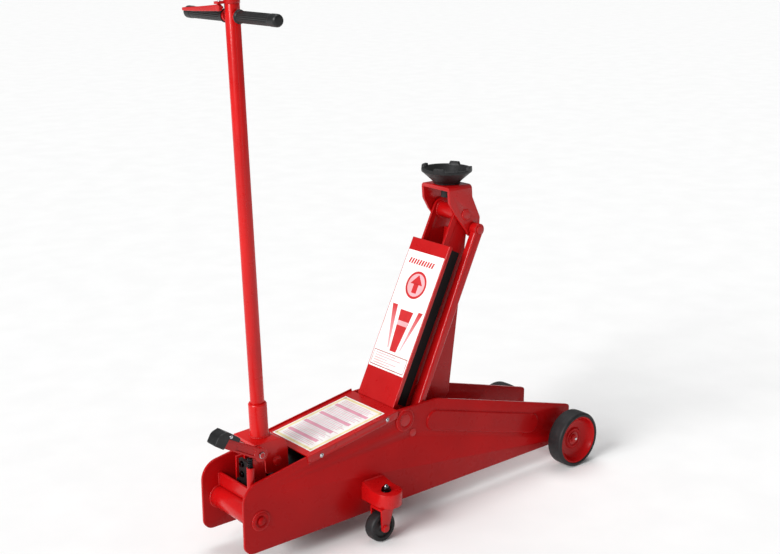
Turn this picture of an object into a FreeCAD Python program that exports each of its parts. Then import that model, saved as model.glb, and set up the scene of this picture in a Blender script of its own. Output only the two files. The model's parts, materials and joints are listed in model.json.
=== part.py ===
import FreeCAD, Part
import math
import os

import Sketcher

# Long-chassis high-lift trolley jack, shown with its arm fully raised.
# Frame: +X to the front wheels, +Y to the left side, +Z up, floor at Z = 0.
# Lengths along the chassis are measured from a rear line, just behind the side plates.

Vector = FreeCAD.Vector
doc = FreeCAD.newDocument("TrolleyJack")
sheet = doc.addObject("Spreadsheet::Sheet", "Sizes")

SIZES = (
    ("origin_setback", 608, "rear line to the origin"),
    # chassis
    ("plate_start", 6, "rear line to the side plates' rear edge"),
    ("plate_length", 1245, "rear line to the side plates' nose"),
    ("frame_width", 206, "over both side plates"),
    ("plate_gauge", 8, "side plate thickness"),
    ("plate_bottom", 55, "floor to the side plates' lower edge"),
    ("rear_height", 245, "top edge at the rear"),
    ("crest_height", 331, "top edge at the crest"),
    ("shoulder_at", 534, "where the crest begins"),
    ("crest_at", 678, "where the crest ends"),
    ("nose_height", 170, "top edge at the nose"),
    ("rear_round", 55, "side plate, upper rear corner"),
    ("heel_round", 28, "side plate, lower rear corner"),
    ("crest_round", 90, "side plate, crest corners"),
    ("toe_round", 12, "side plate, nose corners"),
    ("bead_length", 480, "pressed bead in the side plate"),
    ("bead_width", 62, "pressed bead"),
    ("bead_height", 5, "how far the bead stands out"),
    ("bead_drop", 65, "top edge to the bead's centre line"),
    ("bead_back", 25, "crest corner back to the bead's end"),
    ("tube_at", 57.5, "rear cross tube, from the rear line"),
    ("tube_height", 143.5, "rear cross tube axis above the floor"),
    ("tube_radius", 30, "rear cross tube, outside"),
    ("tube_wall", 5, "rear cross tube wall"),
    ("ring_radius", 25, "weld ring at the cross tube"),
    ("boss_height", 5, "weld rings on the side plates"),
    ("boss_core", 11, "centre plug of a weld ring, radius"),
    ("bar_plate_at", 58, "rear cross plate, from the rear line"),
    ("bar_plate_gauge", 8, "rear cross plate thickness"),
    ("bar_plate_height", 38, "rear cross plate height"),
    ("tie_rod_at", 1228, "front tie rod, from the rear line"),
    ("tie_rod_height", 80, "front tie rod axis above the floor"),
    ("tie_rod_radius", 10, "front tie rod"),
    # cover over the pump
    ("cover_start", 212, "cover, rear edge"),
    ("cover_end", 526, "cover, front edge"),
    ("cover_gauge", 3, "cover sheet"),
    ("cover_flange", 20, "cover's side flanges, depth"),
    ("cover_lip", 5, "lip on the cover's left edge"),
    ("screw_radius", 5, "cover screw head"),
    ("screw_shank", 3, "cover screw shank radius"),
    # lifting arm
    ("pivot_at", 554, "arm pivot, from the rear line"),
    ("pivot_height", 296, "arm pivot above the floor"),
    ("pivot_radius", 20, "arm pivot shaft"),
    ("pivot_ring", 25, "ring round the shaft's ends, radius"),
    ("pivot_tube_radius", 28, "arm's pivot tube, outside"),
    ("running_gap", 0.08, "radial running clearance"),
    ("side_gap", 1, "clearance between faces that slide past"),
    ("arm_length", 609, "arm pivot to head pin"),
    ("arm_raise", 64.1, "arm above level, degrees, fully raised"),
    ("arm_width", 96, "over the arm's plates"),
    ("arm_gauge", 8, "arm plate thickness"),
    ("arm_back", 34, "pin line to the arm's back edge"),
    ("arm_depth", 189, "pin line to the arm's lower front corner"),
    ("arm_heel", 110, "pivot along to the lower front corner"),
    ("guard_width", 160, "guard plate on the arm's back"),
    ("guard_gauge", 4, "guard sheet"),
    ("guard_start", 20, "pivot along to the guard's lower edge"),
    ("guard_end", 505, "pivot along to the guard's upper edge"),
    ("guard_flange", 12, "guard's side flanges, depth"),
    ("crank_radius", 100, "pivot to crank pin"),
    ("crank_swing", 39, "crank pin ahead of straight down, degrees"),
    ("crank_pin_radius", 12, "crank pin"),
    ("head_pin_radius", 13, "head pin"),
    ("head_tube_radius", 23, "tube round the head pin, outside"),
    # tie bars
    ("tie_ahead", 30, "tie bar pins ahead of the arm pins"),
    ("tie_below", 45, "tie bar pins below the arm pins"),
    ("tie_pin_radius", 12, "tie bar pins"),
    ("tie_pin_gap", 0.4, "clearance in the tie bars' upper eyes"),
    ("tie_inner", 61, "tie bar's inner face at its upper eye"),
    ("tie_width", 24, "tie bar, across, at its upper eye"),
    ("tie_foot_inner", 54, "tie bar's inner face at its lower eye"),
    ("tie_foot_width", 39, "tie bar, across, at its lower eye"),
    ("tie_front", 20, "tie bar pins to the bar's front edge"),
    ("tie_depth", 33, "tie bar, front to back, at the top"),
    ("tie_foot_depth", 21, "tie bar, front to back, at the foot"),
    ("tie_round", 7, "tie bar's long edges"),
    ("tie_eye", 18, "upper eye radius"),
    ("tie_foot_eye", 22, "lower eye radius"),
    # saddle and its bracket
    ("bracket_width", 119, "over the bracket's cheeks"),
    ("bracket_gauge", 9.5, "bracket cheek thickness"),
    ("bracket_back", 67, "head pin back to the bracket's rear edge"),
    ("bracket_front", 22, "head pin forward to the top's front edge"),
    ("bracket_top", 86, "head pin up to the bracket's top"),
    ("bracket_eye", 26, "round end of the cheeks"),
    ("bracket_bend", 12, "bracket, outside of its bends"),
    ("saddle_radius", 73, "saddle rim, outside"),
    ("saddle_height", 44, "bracket top to rim"),
    ("saddle_foot", 38, "saddle's foot radius"),
    ("saddle_lug", 8, "lug height above the rim"),
    ("saddle_lug_width", 36, "lug width"),
    ("stem_radius", 16, "saddle stem"),
    ("stem_length", 40, "saddle stem below the bracket's top"),
    # hydraulics
    ("ram_radius", 18, "ram rod"),
    ("ram_overlap", 70, "ram left inside the cylinder"),
    ("barrel_radius", 38, "cylinder, outside"),
    ("barrel_bore", 28, "cylinder bore, radius"),
    ("barrel_end", 420, "cylinder mouth, from the rear line"),
    ("tank_radius", 54, "reservoir, outside"),
    ("tank_wall", 4, "reservoir wall"),
    ("tank_end", 396, "reservoir's front, from the rear line"),
    ("fork_half", 28, "ram fork, half its thickness"),
    ("fork_slack", 2.6, "clearance across the fork's slot"),
    ("block_start", 90, "pump block, from the rear line"),
    ("block_end", 168, "pump block's front"),
    ("block_width", 114, "pump block"),
    ("block_top", 200, "pump block above the floor"),
    ("block_bottom", 72, "pump block's underside"),
    ("valve_top", 262, "valve tower above the floor"),
    ("plunger_radius", 8, "hand plunger"),
    ("plunger_head", 15, "hand plunger head radius"),
    ("plunger_gap", 2, "roller to plunger head, handle upright"),
    ("spring_wire", 2.4, "plunger spring wire diameter"),
    # handle
    ("yoke_at", 147, "handle pivot, from the rear line"),
    ("yoke_height", 272, "handle pivot above the floor"),
    ("handle_lean", 2.15, "handle leans back, degrees"),
    ("handle_set", 15, "handle axis behind its pivot"),
    ("yoke_width", 108, "over the yoke's ears"),
    ("yoke_gauge", 8, "yoke plate"),
    ("yoke_top", 62, "pivot up to the yoke's top"),
    ("yoke_front", 37, "pivot forward to the yoke's front"),
    ("yoke_back", 62, "pivot back to the yoke's rear edge"),
    ("yoke_drop", 30, "pivot down to the ears' ends"),
    ("yoke_round", 34, "yoke's upper front corner"),
    ("yoke_bolt_radius", 9, "handle pivot bolt"),
    ("roller_reach", 30, "pivot back to the pump roller"),
    ("roller_radius", 10, "pump roller"),
    ("roller_pin", 5, "pump roller pin radius"),
    ("sleeve_radius", 25, "handle sleeve, outside"),
    ("sleeve_length", 93, "handle sleeve"),
    ("pole_radius", 19, "handle tube, outside"),
    ("pole_wall", 3, "handle tube wall"),
    ("pole_top", 1194, "pivot up to the handle tube's top"),
    ("cross_bar_drop", 31, "tube's top down to the cross bar"),
    ("cross_bar_radius", 11, "cross bar"),
    ("grip_radius", 15, "hand grip"),
    ("grip_left_end", 207, "left grip's end from the middle"),
    ("grip_right_end", 195, "right grip's end from the middle"),
    ("grip_start", 28, "grips begin this far from the middle"),
    ("lever_length", 182, "release lever, hinge to tip"),
    ("lever_reach", 31, "tube's axis back to the release lever"),
    ("rod_radius", 4, "release rod"),
    # pedal and foot pump
    ("pedal_at", 77, "pedal pivot, from the rear line"),
    ("pedal_height", 318, "pedal pivot above the floor"),
    ("pedal_hub", 19, "pedal hub radius"),
    ("pedal_length", 156, "pedal pivot to the arm's end"),
    ("pedal_rise", 30, "pedal arm above level, degrees"),
    ("pedal_depth", 28, "pedal arm, top to bottom"),
    ("pedal_inner", 67, "pedal arm's inner face from the middle"),
    ("pedal_width", 20, "pedal arm, across"),
    ("pad_length", 64, "rubber pad along the arm"),
    ("pad_width", 40, "rubber pad, across"),
    ("pedal_shaft_radius", 8, "pedal shaft"),
    ("foot_pump_set", 30, "pedal pivot back to the foot plunger"),
    ("foot_barrel_radius", 10, "foot pump barrel"),
    ("foot_plunger_radius", 6, "foot plunger"),
    # front wheels
    ("wheel_at", 1199, "front wheel axis, from the rear line"),
    ("wheel_radius", 87.5, "front wheel"),
    ("wheel_width", 55, "front wheel"),
    ("wheel_gap", 32.5, "side plate to the wheel's inner face"),
    ("tyre_wall", 12, "rubber tyre thickness"),
    ("axle_radius", 14, "front stub axle"),
    # casters
    ("caster_at", 429, "caster swivel, from the rear line"),
    ("caster_out", 66.5, "side plate to the caster swivel"),
    ("caster_trail", 22, "swivel back to the caster wheel's axle"),
    ("caster_radius", 42.5, "caster wheel"),
    ("caster_width", 36, "caster wheel"),
    ("caster_axle", 6, "caster wheel axle radius"),
    ("king_radius", 9, "caster king pin"),
    ("shelf_top", 141, "caster shelf above the floor"),
    ("shelf_gauge", 40, "caster shelf thickness"),
    ("shelf_radius", 40, "caster shelf's round end"),
    ("fork_gauge", 6, "caster fork plate"),
)


class Size:
    """A size: its value, and the sheet expression that gives it."""

    def __init__(self, value, text):
        self.value = float(value)
        self.text = text

    def __float__(self):
        return self.value

    def __add__(self, other):
        other = as_size(other)
        return Size(self.value + other.value, f"({self.text} + {other.text})")

    def __sub__(self, other):
        other = as_size(other)
        return Size(self.value - other.value, f"({self.text} - {other.text})")

    def __mul__(self, factor):
        factor = as_size(factor)
        return Size(self.value * factor.value, f"({self.text} * {factor.text})")

    def __truediv__(self, divisor):
        return Size(self.value / divisor, f"({self.text} / {divisor})")

    def __neg__(self):
        return Size(-self.value, f"(-1 * {self.text})")

    __radd__ = __add__
    __rmul__ = __mul__

    def __rsub__(self, other):
        return as_size(other) - self


def as_size(number):
    """A plain number as a Size; a Size as it is."""
    return number if isinstance(number, Size) else Size(number, repr(float(number)))


class Table:
    """The sheet's cells as Sizes, read by name."""


def fill_sheet():
    """Write every driving size into the sheet, and return them by name."""
    table = Table()
    for row, (name, value, meaning) in enumerate(SIZES, start=1):
        sheet.set(f"A{row}", meaning)
        sheet.set(f"B{row}", str(value))
        sheet.setAlias(f"B{row}", name)
        setattr(table, name, Size(value, f"Sizes.{name}"))
    doc.recompute()
    return table


s = fill_sheet()

HALF = s.frame_width / 2
INNER = HALF - s.plate_gauge
RAM_HEIGHT = s.pivot_height - s.crank_radius * 0.89
CRANK = math.radians(float(s.crank_swing))
LIFT = math.radians(float(s.arm_raise))


# ---------------------------------------------------------------- building blocks

def bind(thing, **sizes):
    """Tie properties of an object to the sheet."""
    for prop, size in sizes.items():
        size = as_size(size)
        setattr(thing, prop, size.value)
        if "Sizes." in size.text:
            thing.setExpression(prop, size.text)
    return thing


def new(kind, name):
    return doc.addObject(kind, name)


def spin(axis, degrees):
    return FreeCAD.Rotation(axis, float(degrees))


X_AXIS = Vector(1, 0, 0)
Y_AXIS = Vector(0, 1, 0)
Z_AXIS = Vector(0, 0, 1)
TURN_TO = {
    "x": spin(Y_AXIS, 90),
    "y": spin(X_AXIS, -90),
    "z": spin(Z_AXIS, 0),
}


def box(x0, x1, y0, y1, z0, z1):
    """A block between pairs of planes."""
    block = bind(new("Part::Box", "Block"), Length=as_size(x1) - x0, Width=as_size(y1) - y0,
                 Height=as_size(z1) - z0)
    block.Placement.Base = Vector(float(x0), float(y0), float(z0))
    return block


def rod(axis, radius, start, length, centre):
    """A cylinder along x, y or z; start is its low end on that axis, centre its other two places."""
    piece = bind(new("Part::Cylinder", "Rod"), Radius=radius, Height=length)
    first, second = float(centre[0]), float(centre[1])
    base = {
        "x": Vector(float(start), first, second),
        "y": Vector(first, float(start), second),
        "z": Vector(first, second, float(start)),
    }[axis]
    piece.Placement = FreeCAD.Placement(base, TURN_TO[axis])
    return piece


def cut(base, *tools):
    """The base with each tool taken away, and a check that each one bites."""
    for tool in tools:
        piece = new("Part::Cut", "Cut")
        piece.Base = base
        piece.Tool = tool
        doc.recompute()
        if piece.Shape.Volume > base.Shape.Volume - 1:
            raise RuntimeError(f"a cut removes nothing from {base.Name}")
        base = piece
    return base


def fuse(*pieces):
    whole = new("Part::MultiFuse", "Join")
    whole.Shapes = list(pieces)
    whole.Refine = True
    return whole


def group(*pieces):
    """Separate solids that share one node."""
    bundle = new("Part::Compound", "Set")
    bundle.Links = list(pieces)
    return bundle


def mirrored(piece):
    """The same piece on the other side of the jack."""
    twin = new("Part::Mirroring", "Twin")
    twin.Source = piece
    twin.Base = Vector(0, 0, 0)
    twin.Normal = Y_AXIS
    return twin


def plane(body, role):
    return next(item for item in body.Origin.OriginFeatures if item.Role == role)


def closed_sketch(body, role, points):
    """A closed outline whose every corner is tied to the sheet."""
    sketch = body.newObject("Sketcher::SketchObject", "Outline")
    sketch.AttachmentSupport = [(plane(body, role), "")]
    sketch.MapMode = "FlatFace"
    places = [Vector(float(first), float(second), 0) for first, second in points]
    count = len(places)
    for index in range(count):
        sketch.addGeometry(Part.LineSegment(places[index], places[(index + 1) % count]), False)
    for index in range(count):
        sketch.addConstraint(Sketcher.Constraint("Coincident", index, 2, (index + 1) % count, 1))
    for index, pair in enumerate(points):
        for kind, size in zip(("DistanceX", "DistanceY"), pair):
            size = as_size(size)
            number = sketch.addConstraint(Sketcher.Constraint(kind, -1, 1, index, 1, size.value))
            if "Sizes." in size.text:
                sketch.setExpression(f"Constraints[{number}]", size.text)
    return sketch


def corner_edges(shape, corners):
    """Names of the edges that run across the plate at the given corners."""
    names = []
    for number, edge in enumerate(shape.Edges, start=1):
        ends = [vertex.Point for vertex in edge.Vertexes]
        if len(ends) < 2:
            continue
        for first, third in corners:
            if all(abs(end.x - first) + abs(end.z - third) < 0.01 for end in ends):
                names.append(f"Edge{number}")
    return names


def plate(outline, low, high):
    """A flat plate in the X-Z plane from Y low to Y high; corners are (x, z) or (x, z, round)."""
    body = new("PartDesign::Body", "Plate")
    sketch = closed_sketch(body, "XZ_Plane", [corner[:2] for corner in outline])
    sketch.AttachmentOffset = FreeCAD.Placement(Vector(0, 0, -float(high)), spin(Z_AXIS, 0))
    pad = body.newObject("PartDesign::Pad", "Pad")
    pad.Profile = sketch
    bind(pad, Length=as_size(high) - low)
    body.Tip = pad
    doc.recompute()
    rounds = {}
    for corner in outline:
        if len(corner) == 3:
            rounds.setdefault(as_size(corner[2]).text, []).append(corner)
    last = pad
    for corners in rounds.values():
        names = corner_edges(last.Shape, [(float(c[0]), float(c[1])) for c in corners])
        if len(names) != len(corners):
            raise RuntimeError("a corner to round is missing")
        fillet = body.newObject("PartDesign::Fillet", "Round")
        fillet.Base = (last, names)
        bind(fillet, Radius=corners[0][2])
        body.Tip = fillet
        doc.recompute()
        last = fillet
    return body


def turned(profile, axis="z", place=(0, 0, 0)):
    """A turned piece: (radius, height) corners spun round Z, then laid along an axis."""
    body = new("PartDesign::Body", "Turned")
    sketch = closed_sketch(body, "XZ_Plane", profile)
    spinning = body.newObject("PartDesign::Revolution", "Turning")
    spinning.Profile = sketch
    spinning.ReferenceAxis = (sketch, ["V_Axis"])
    spinning.Angle = 360
    body.Tip = spinning
    body.Placement = FreeCAD.Placement(Vector(*[float(value) for value in place]), TURN_TO[axis])
    doc.recompute()
    return body


def slanted(x0, z0, x1, z1, low, high, gauge):
    """A flat strip of sheet whose middle runs from (x0, z0) to (x1, z1)."""
    run = math.hypot(x1 - x0, z1 - z0)
    strip = bind(new("Part::Box", "Strip"), Width=as_size(high) - low, Height=gauge)
    strip.Length = run
    turn = spin(Y_AXIS, -math.degrees(math.atan2(z1 - z0, x1 - x0)))
    start = Vector(x0, float(low), z0) + turn.multVec(Vector(0, 0, -float(gauge) / 2))
    strip.Placement = FreeCAD.Placement(start, turn)
    return strip


NODES = []

CHASSIS = FreeCAD.Placement(Vector(-float(s.origin_setback), 0, 0), spin(Y_AXIS, 0))
ARM = FreeCAD.Placement(
    Vector(float(s.pivot_at - s.origin_setback), 0, float(s.pivot_height)),
    spin(Y_AXIS, -float(s.arm_raise)),
)
HANDLE = FreeCAD.Placement(
    Vector(float(s.yoke_at - s.origin_setback), 0, float(s.yoke_height)),
    spin(Y_AXIS, -float(s.handle_lean)),
)


def node(label, piece, frame=CHASSIS):
    """Name a finished piece, and stand it in its frame."""
    piece.Label = label
    piece.Placement = frame * piece.Placement
    NODES.append(piece)
    return piece


def both_sides(piece):
    """A piece and its mirror image, as one node."""
    return group(piece, mirrored(piece))


# ---------------------------------------------------------------- chassis

def side_plate(outer):
    """One side plate with its pressed bead, outer face at y = outer."""
    low, high = (outer, outer + s.plate_gauge) if float(outer) < 0 else (outer - s.plate_gauge, outer)
    blank = plate((
        (s.plate_start, s.plate_bottom, s.heel_round),
        (s.plate_length, s.plate_bottom, s.toe_round),
        (s.plate_length, s.nose_height, s.toe_round),
        (s.crest_at, s.crest_height, s.crest_round),
        (s.shoulder_at, s.crest_height, s.crest_round),
        (s.plate_start, s.rear_height, s.rear_round),
    ), low, high)
    run = float(s.plate_length - s.crest_at)
    fall = float(s.crest_height - s.nose_height)
    tilt = spin(Y_AXIS, math.degrees(math.atan2(fall, run)))
    start = Vector(float(s.crest_at), 0, float(s.crest_height))
    half = s.bead_width / 2
    side = -1 if float(outer) < 0 else 1
    proud = (outer - s.bead_height, outer) if side < 0 else (outer, outer + s.bead_height)
    first = -s.bead_back + half
    last = s.bead_length - s.bead_back - half
    middle = box(first, last, proud[0], proud[1], -s.bead_drop - half, -s.bead_drop + half)
    rear_end = rod("y", half, proud[0], s.bead_height, (first, -s.bead_drop))
    front_end = rod("y", half, proud[0], s.bead_height, (last, -s.bead_drop))
    bead = fuse(middle, rear_end, front_end)
    doc.recompute()
    outer_edges = [
        (number, float(s.bead_height) - 0.8, float(s.bead_height) - 0.8)
        for number, edge in enumerate(bead.Shape.Edges, start=1)
        if all(abs(vertex.Y - side * float(HALF + s.bead_height)) < 0.01 for vertex in edge.Vertexes)
    ]
    soft = new("Part::Fillet", "SoftBead")
    soft.Base = bead
    soft.Edges = outer_edges
    soft.Placement = FreeCAD.Placement(start, tilt)
    doc.recompute()
    pivot_hole = rod("y", s.pivot_radius, low, s.plate_gauge, (s.pivot_at, s.pivot_height))
    pin_hole = rod("y", s.tie_pin_radius, low, s.plate_gauge,
                   (s.pivot_at + s.tie_ahead, s.pivot_height - s.tie_below))
    axle_hole = rod("y", 20, low, s.plate_gauge, (s.wheel_at, s.wheel_radius))
    return cut(fuse(blank, soft), pivot_hole, pin_hole, axle_hole)


def chassis():
    node("side_plate_right", side_plate(-HALF))
    node("side_plate_left", side_plate(HALF))
    tube = rod("y", s.tube_radius, -INNER, INNER * 2, (s.tube_at, s.tube_height))
    core = rod("y", s.tube_radius - s.tube_wall, -INNER, INNER * 2, (s.tube_at, s.tube_height))
    node("rear_cross_tube", cut(tube, core))
    tube_top = s.tube_height + s.tube_radius
    node("rear_cross_plate", box(s.bar_plate_at, s.bar_plate_at + s.bar_plate_gauge, -INNER, INNER,
                                 tube_top + 1, tube_top + 1 + s.bar_plate_height))
    node("front_tie_rod", rod("y", s.tie_rod_radius, -INNER, INNER * 2, (s.tie_rod_at, s.tie_rod_height)))


def weld_ring(at, height, radius, core):
    """A dished ring with a centre plug, standing on the right side plate."""
    outer = HALF + s.boss_height
    ring = turned((
        (core, HALF), (radius, HALF), (radius, HALF + s.boss_height * 0.5), (radius - 3, outer),
        (core + 7, outer), (core + 3, HALF + s.boss_height * 0.5), (core, HALF + s.boss_height * 0.5),
    ), "y")
    ring.Placement = FreeCAD.Placement(Vector(float(at), 0, float(height)), spin(X_AXIS, 90))
    return ring


def bosses():
    """Rings welded where the cross tube and the pivot shaft meet the side plates."""
    tube_ring = weld_ring(s.tube_at, s.tube_height, s.ring_radius, s.boss_core)
    outer = HALF + s.boss_height
    tube_plug = turned((
        (0, HALF), (s.boss_core, HALF), (s.boss_core, outer + 1), (s.boss_core - 4, outer + 3.5), (0, outer + 4),
    ))
    tube_plug.Placement = FreeCAD.Placement(Vector(float(s.tube_at), 0, float(s.tube_height)), spin(X_AXIS, 90))
    pivot_boss = weld_ring(s.pivot_at, s.pivot_height, s.pivot_ring + s.boss_height, s.pivot_radius - 6)
    rim = cut(pivot_boss, rod("y", s.pivot_radius, -HALF - 3, 3, (s.pivot_at, s.pivot_height)))
    node("side_bosses", both_sides(group(fuse(tube_ring, tube_plug), rim)))
    node("arm_pivot_shaft", rod("y", s.pivot_radius, -HALF - 3, HALF * 2 + 6, (s.pivot_at, s.pivot_height)))
    pin = rod("y", s.tie_pin_radius, -HALF - 1, HALF + 1 - s.tie_foot_inner + 1,
              (s.pivot_at + s.tie_ahead, s.pivot_height - s.tie_below))
    node("tie_lower_pins", both_sides(pin))


def cover_top(at):
    """Height of the side plates' upper edge at a place behind the crest."""
    rise = (s.crest_height.value - s.rear_height.value) / (s.shoulder_at.value - s.plate_start.value)
    return s.rear_height.value + rise * (float(at) - s.plate_start.value)


def cover():
    """Sheet cover over the pump, with flanges outside the plates and a lip on the left."""
    x0, x1 = float(s.cover_start), float(s.cover_end)
    gauge = float(s.cover_gauge)
    z0, z1 = cover_top(x0) + 0.2, cover_top(x1) + 0.2
    reach = HALF + s.cover_gauge
    top = slanted(x0, z0 + gauge / 2, x1, z1 + gauge / 2, -reach, reach, s.cover_gauge)
    depth = float(s.cover_flange)
    skirt = slanted(x0, z0 - depth / 2, x1, z1 - depth / 2, -reach, -HALF, depth)
    skirt_left = slanted(x0, z0 - depth / 2, x1, z1 - depth / 2, HALF, reach, depth)
    lip_height = float(s.cover_lip)
    lip_middle = gauge + lip_height / 2
    lip = slanted(x0, z0 + lip_middle, x1, z1 + lip_middle, HALF, reach, lip_height)
    sheet_metal = fuse(top, skirt, skirt_left, lip)
    doc.recompute()
    near_bend = [
        (number, gauge * 0.9, gauge * 0.9)
        for number, edge in enumerate(sheet_metal.Shape.Edges, start=1)
        if edge.Length > 100
        and all(abs(v.Y + float(reach)) < 0.01 and v.Z > cover_top(v.X) for v in edge.Vertexes)
    ]
    bent = new("Part::Fillet", "BentCover")
    bent.Base = sheet_metal
    bent.Edges = near_bend
    doc.recompute()
    shanks = []
    screws = []
    for at, drop in ((float(s.cover_start) + 45, depth * 0.64), (float(s.cover_end) - 39, depth * 0.42)):
        height = cover_top(at) - drop
        shanks.append(rod("y", s.screw_shank, -reach, reach * 2, (at, height)))
        head = turned(((0, 0), (s.screw_radius, 0), (s.screw_radius, 1.2), (s.screw_radius * 0.6, 3.4), (0, 4)))
        head.Placement = FreeCAD.Placement(Vector(at, -float(reach), height), spin(X_AXIS, 90))
        shank = rod("y", s.screw_shank, -reach, s.cover_gauge, (at, height))
        screws.append(fuse(head, shank))
    node("top_cover", cut(bent, *shanks))
    node("cover_screws", group(*screws, *[mirrored(screw) for screw in screws]))


# ---------------------------------------------------------------- hydraulics

def hydraulics():
    """Pump block, cylinder and reservoir between the side plates."""
    half = s.block_width / 2
    yoke_at, yoke_height = s.yoke_at, s.yoke_height
    lug_inner = s.roller_radius + 10
    lug_outer = s.yoke_width / 2 - s.yoke_gauge - 2
    body = box(s.block_start, s.block_end, -half, half, s.block_bottom, s.block_top)
    tower = box(s.block_start, s.block_start + 11, -18, half - 13, s.block_top, s.valve_top)
    lugs = []
    for y0, y1 in ((-lug_outer, -lug_inner), (lug_inner, lug_outer)):
        lugs.append(box(yoke_at - 6, s.block_end, y0, y1, s.block_top, yoke_height))
        lugs.append(rod("y", 18, y0, y1 - y0, (yoke_at, yoke_height)))
    bolt_bore = rod("y", s.yoke_bolt_radius + s.running_gap, -lug_outer, lug_outer * 2, (yoke_at, yoke_height))
    shoulder = box(yoke_at + 19, s.block_end + 1, -lug_outer - 1, lug_outer + 1, yoke_height - 16, yoke_height + 1)
    plunger_at = yoke_at - s.roller_reach
    plunger_bore = rod("z", s.plunger_radius + s.running_gap, s.block_bottom + 20,
                       s.block_top - s.block_bottom - 20, (plunger_at, 0))
    casting = cut(fuse(body, tower, *lugs), bolt_bore, shoulder, plunger_bore)
    node("pump_block", casting)
    node("pump_side_plate", box(s.block_start + 1, s.block_start + 36, half, half + 7, s.block_top - 60, s.valve_top))
    bolts = []
    for y, z in ((28.0, 221), (28.0, 250), (-40.0, 188), (40.0, 188)):
        head = turned(((0, 0), (7, 0), (7, 4), (5.5, 6.5), (0, 6.5)))
        head.Placement = FreeCAD.Placement(Vector(float(s.block_start), y, z), spin(Y_AXIS, -90))
        bolts.append(head)
    node("pump_bolts", group(*bolts))

    barrel = rod("x", s.barrel_radius, s.block_end, s.barrel_end - s.block_end, (0, RAM_HEIGHT))
    bore = rod("x", s.barrel_bore, s.block_end, s.barrel_end - s.block_end, (0, RAM_HEIGHT))
    node("cylinder_barrel", cut(barrel, bore))
    nose = 16
    gland = rod("x", s.barrel_radius - 3, s.barrel_end, nose, (0, RAM_HEIGHT))
    gland_bore = rod("x", s.ram_radius + s.running_gap, s.barrel_end, nose, (0, RAM_HEIGHT))
    node("cylinder_gland", cut(gland, gland_bore))
    tank = rod("x", s.tank_radius, s.block_end, s.tank_end - s.block_end, (0, RAM_HEIGHT))
    hollow = rod("x", s.tank_radius - s.tank_wall, s.block_end, s.tank_end - s.tank_wall - s.block_end,
                 (0, RAM_HEIGHT))
    mouth = rod("x", s.barrel_radius, s.tank_end - s.tank_wall, s.tank_wall, (0, RAM_HEIGHT))
    node("reservoir_tube", cut(tank, hollow, mouth))


def ram():
    """Ram rod with its piston, and the fork that holds the crank pin in a tall slot."""
    crank_at = s.pivot_at + s.crank_radius * math.sin(CRANK)
    slot = s.crank_pin_radius + s.fork_slack
    wall = 13
    fork_back = crank_at - slot - wall
    piston_back = s.barrel_end - s.ram_overlap
    shaft = rod("x", s.ram_radius, piston_back, fork_back - piston_back, (0, RAM_HEIGHT))
    piston = rod("x", s.barrel_bore - s.running_gap, piston_back, 40, (0, RAM_HEIGHT))
    node("ram_rod", fuse(shaft, piston))
    tall = 42
    slot_half = 27
    block = box(fork_back, crank_at + slot + wall, -s.fork_half, s.fork_half, RAM_HEIGHT - tall, RAM_HEIGHT + tall)
    window = box(crank_at - slot, crank_at + slot, -s.fork_half, s.fork_half,
                 RAM_HEIGHT - slot_half, RAM_HEIGHT + slot_half)
    node("ram_fork", cut(block, window))


# ---------------------------------------------------------------- lifting arm (x along the arm, z to its back)

def arm_plate(low):
    """One deep side plate of the arm, from the crank to the head pin."""
    high = low + s.arm_gauge
    back = s.arm_back
    crank_x = float(s.crank_radius) * math.cos(math.pi / 2 - CRANK + LIFT)
    crank_z = -float(s.crank_radius) * math.sin(math.pi / 2 - CRANK + LIFT)
    web = plate((
        (-37, back, 31),
        (s.arm_length, back),
        (s.arm_length, -back),
        (s.arm_length - 36, -back, 60),
        (s.arm_heel, -s.arm_depth, 15),
        (crank_x - 30, crank_z - 32, 25),
    ), low, high)
    head = rod("y", back, low, s.arm_gauge, (s.arm_length, 0))
    pivot = rod("y", s.pivot_tube_radius, low, s.arm_gauge, (0, 0))
    pin = rod("y", s.head_pin_radius + s.running_gap, low, s.arm_gauge, (s.arm_length, 0))
    crank = rod("y", s.crank_pin_radius, low, s.arm_gauge, (crank_x, crank_z))
    return cut(fuse(web, head), pivot, pin, crank)


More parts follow.
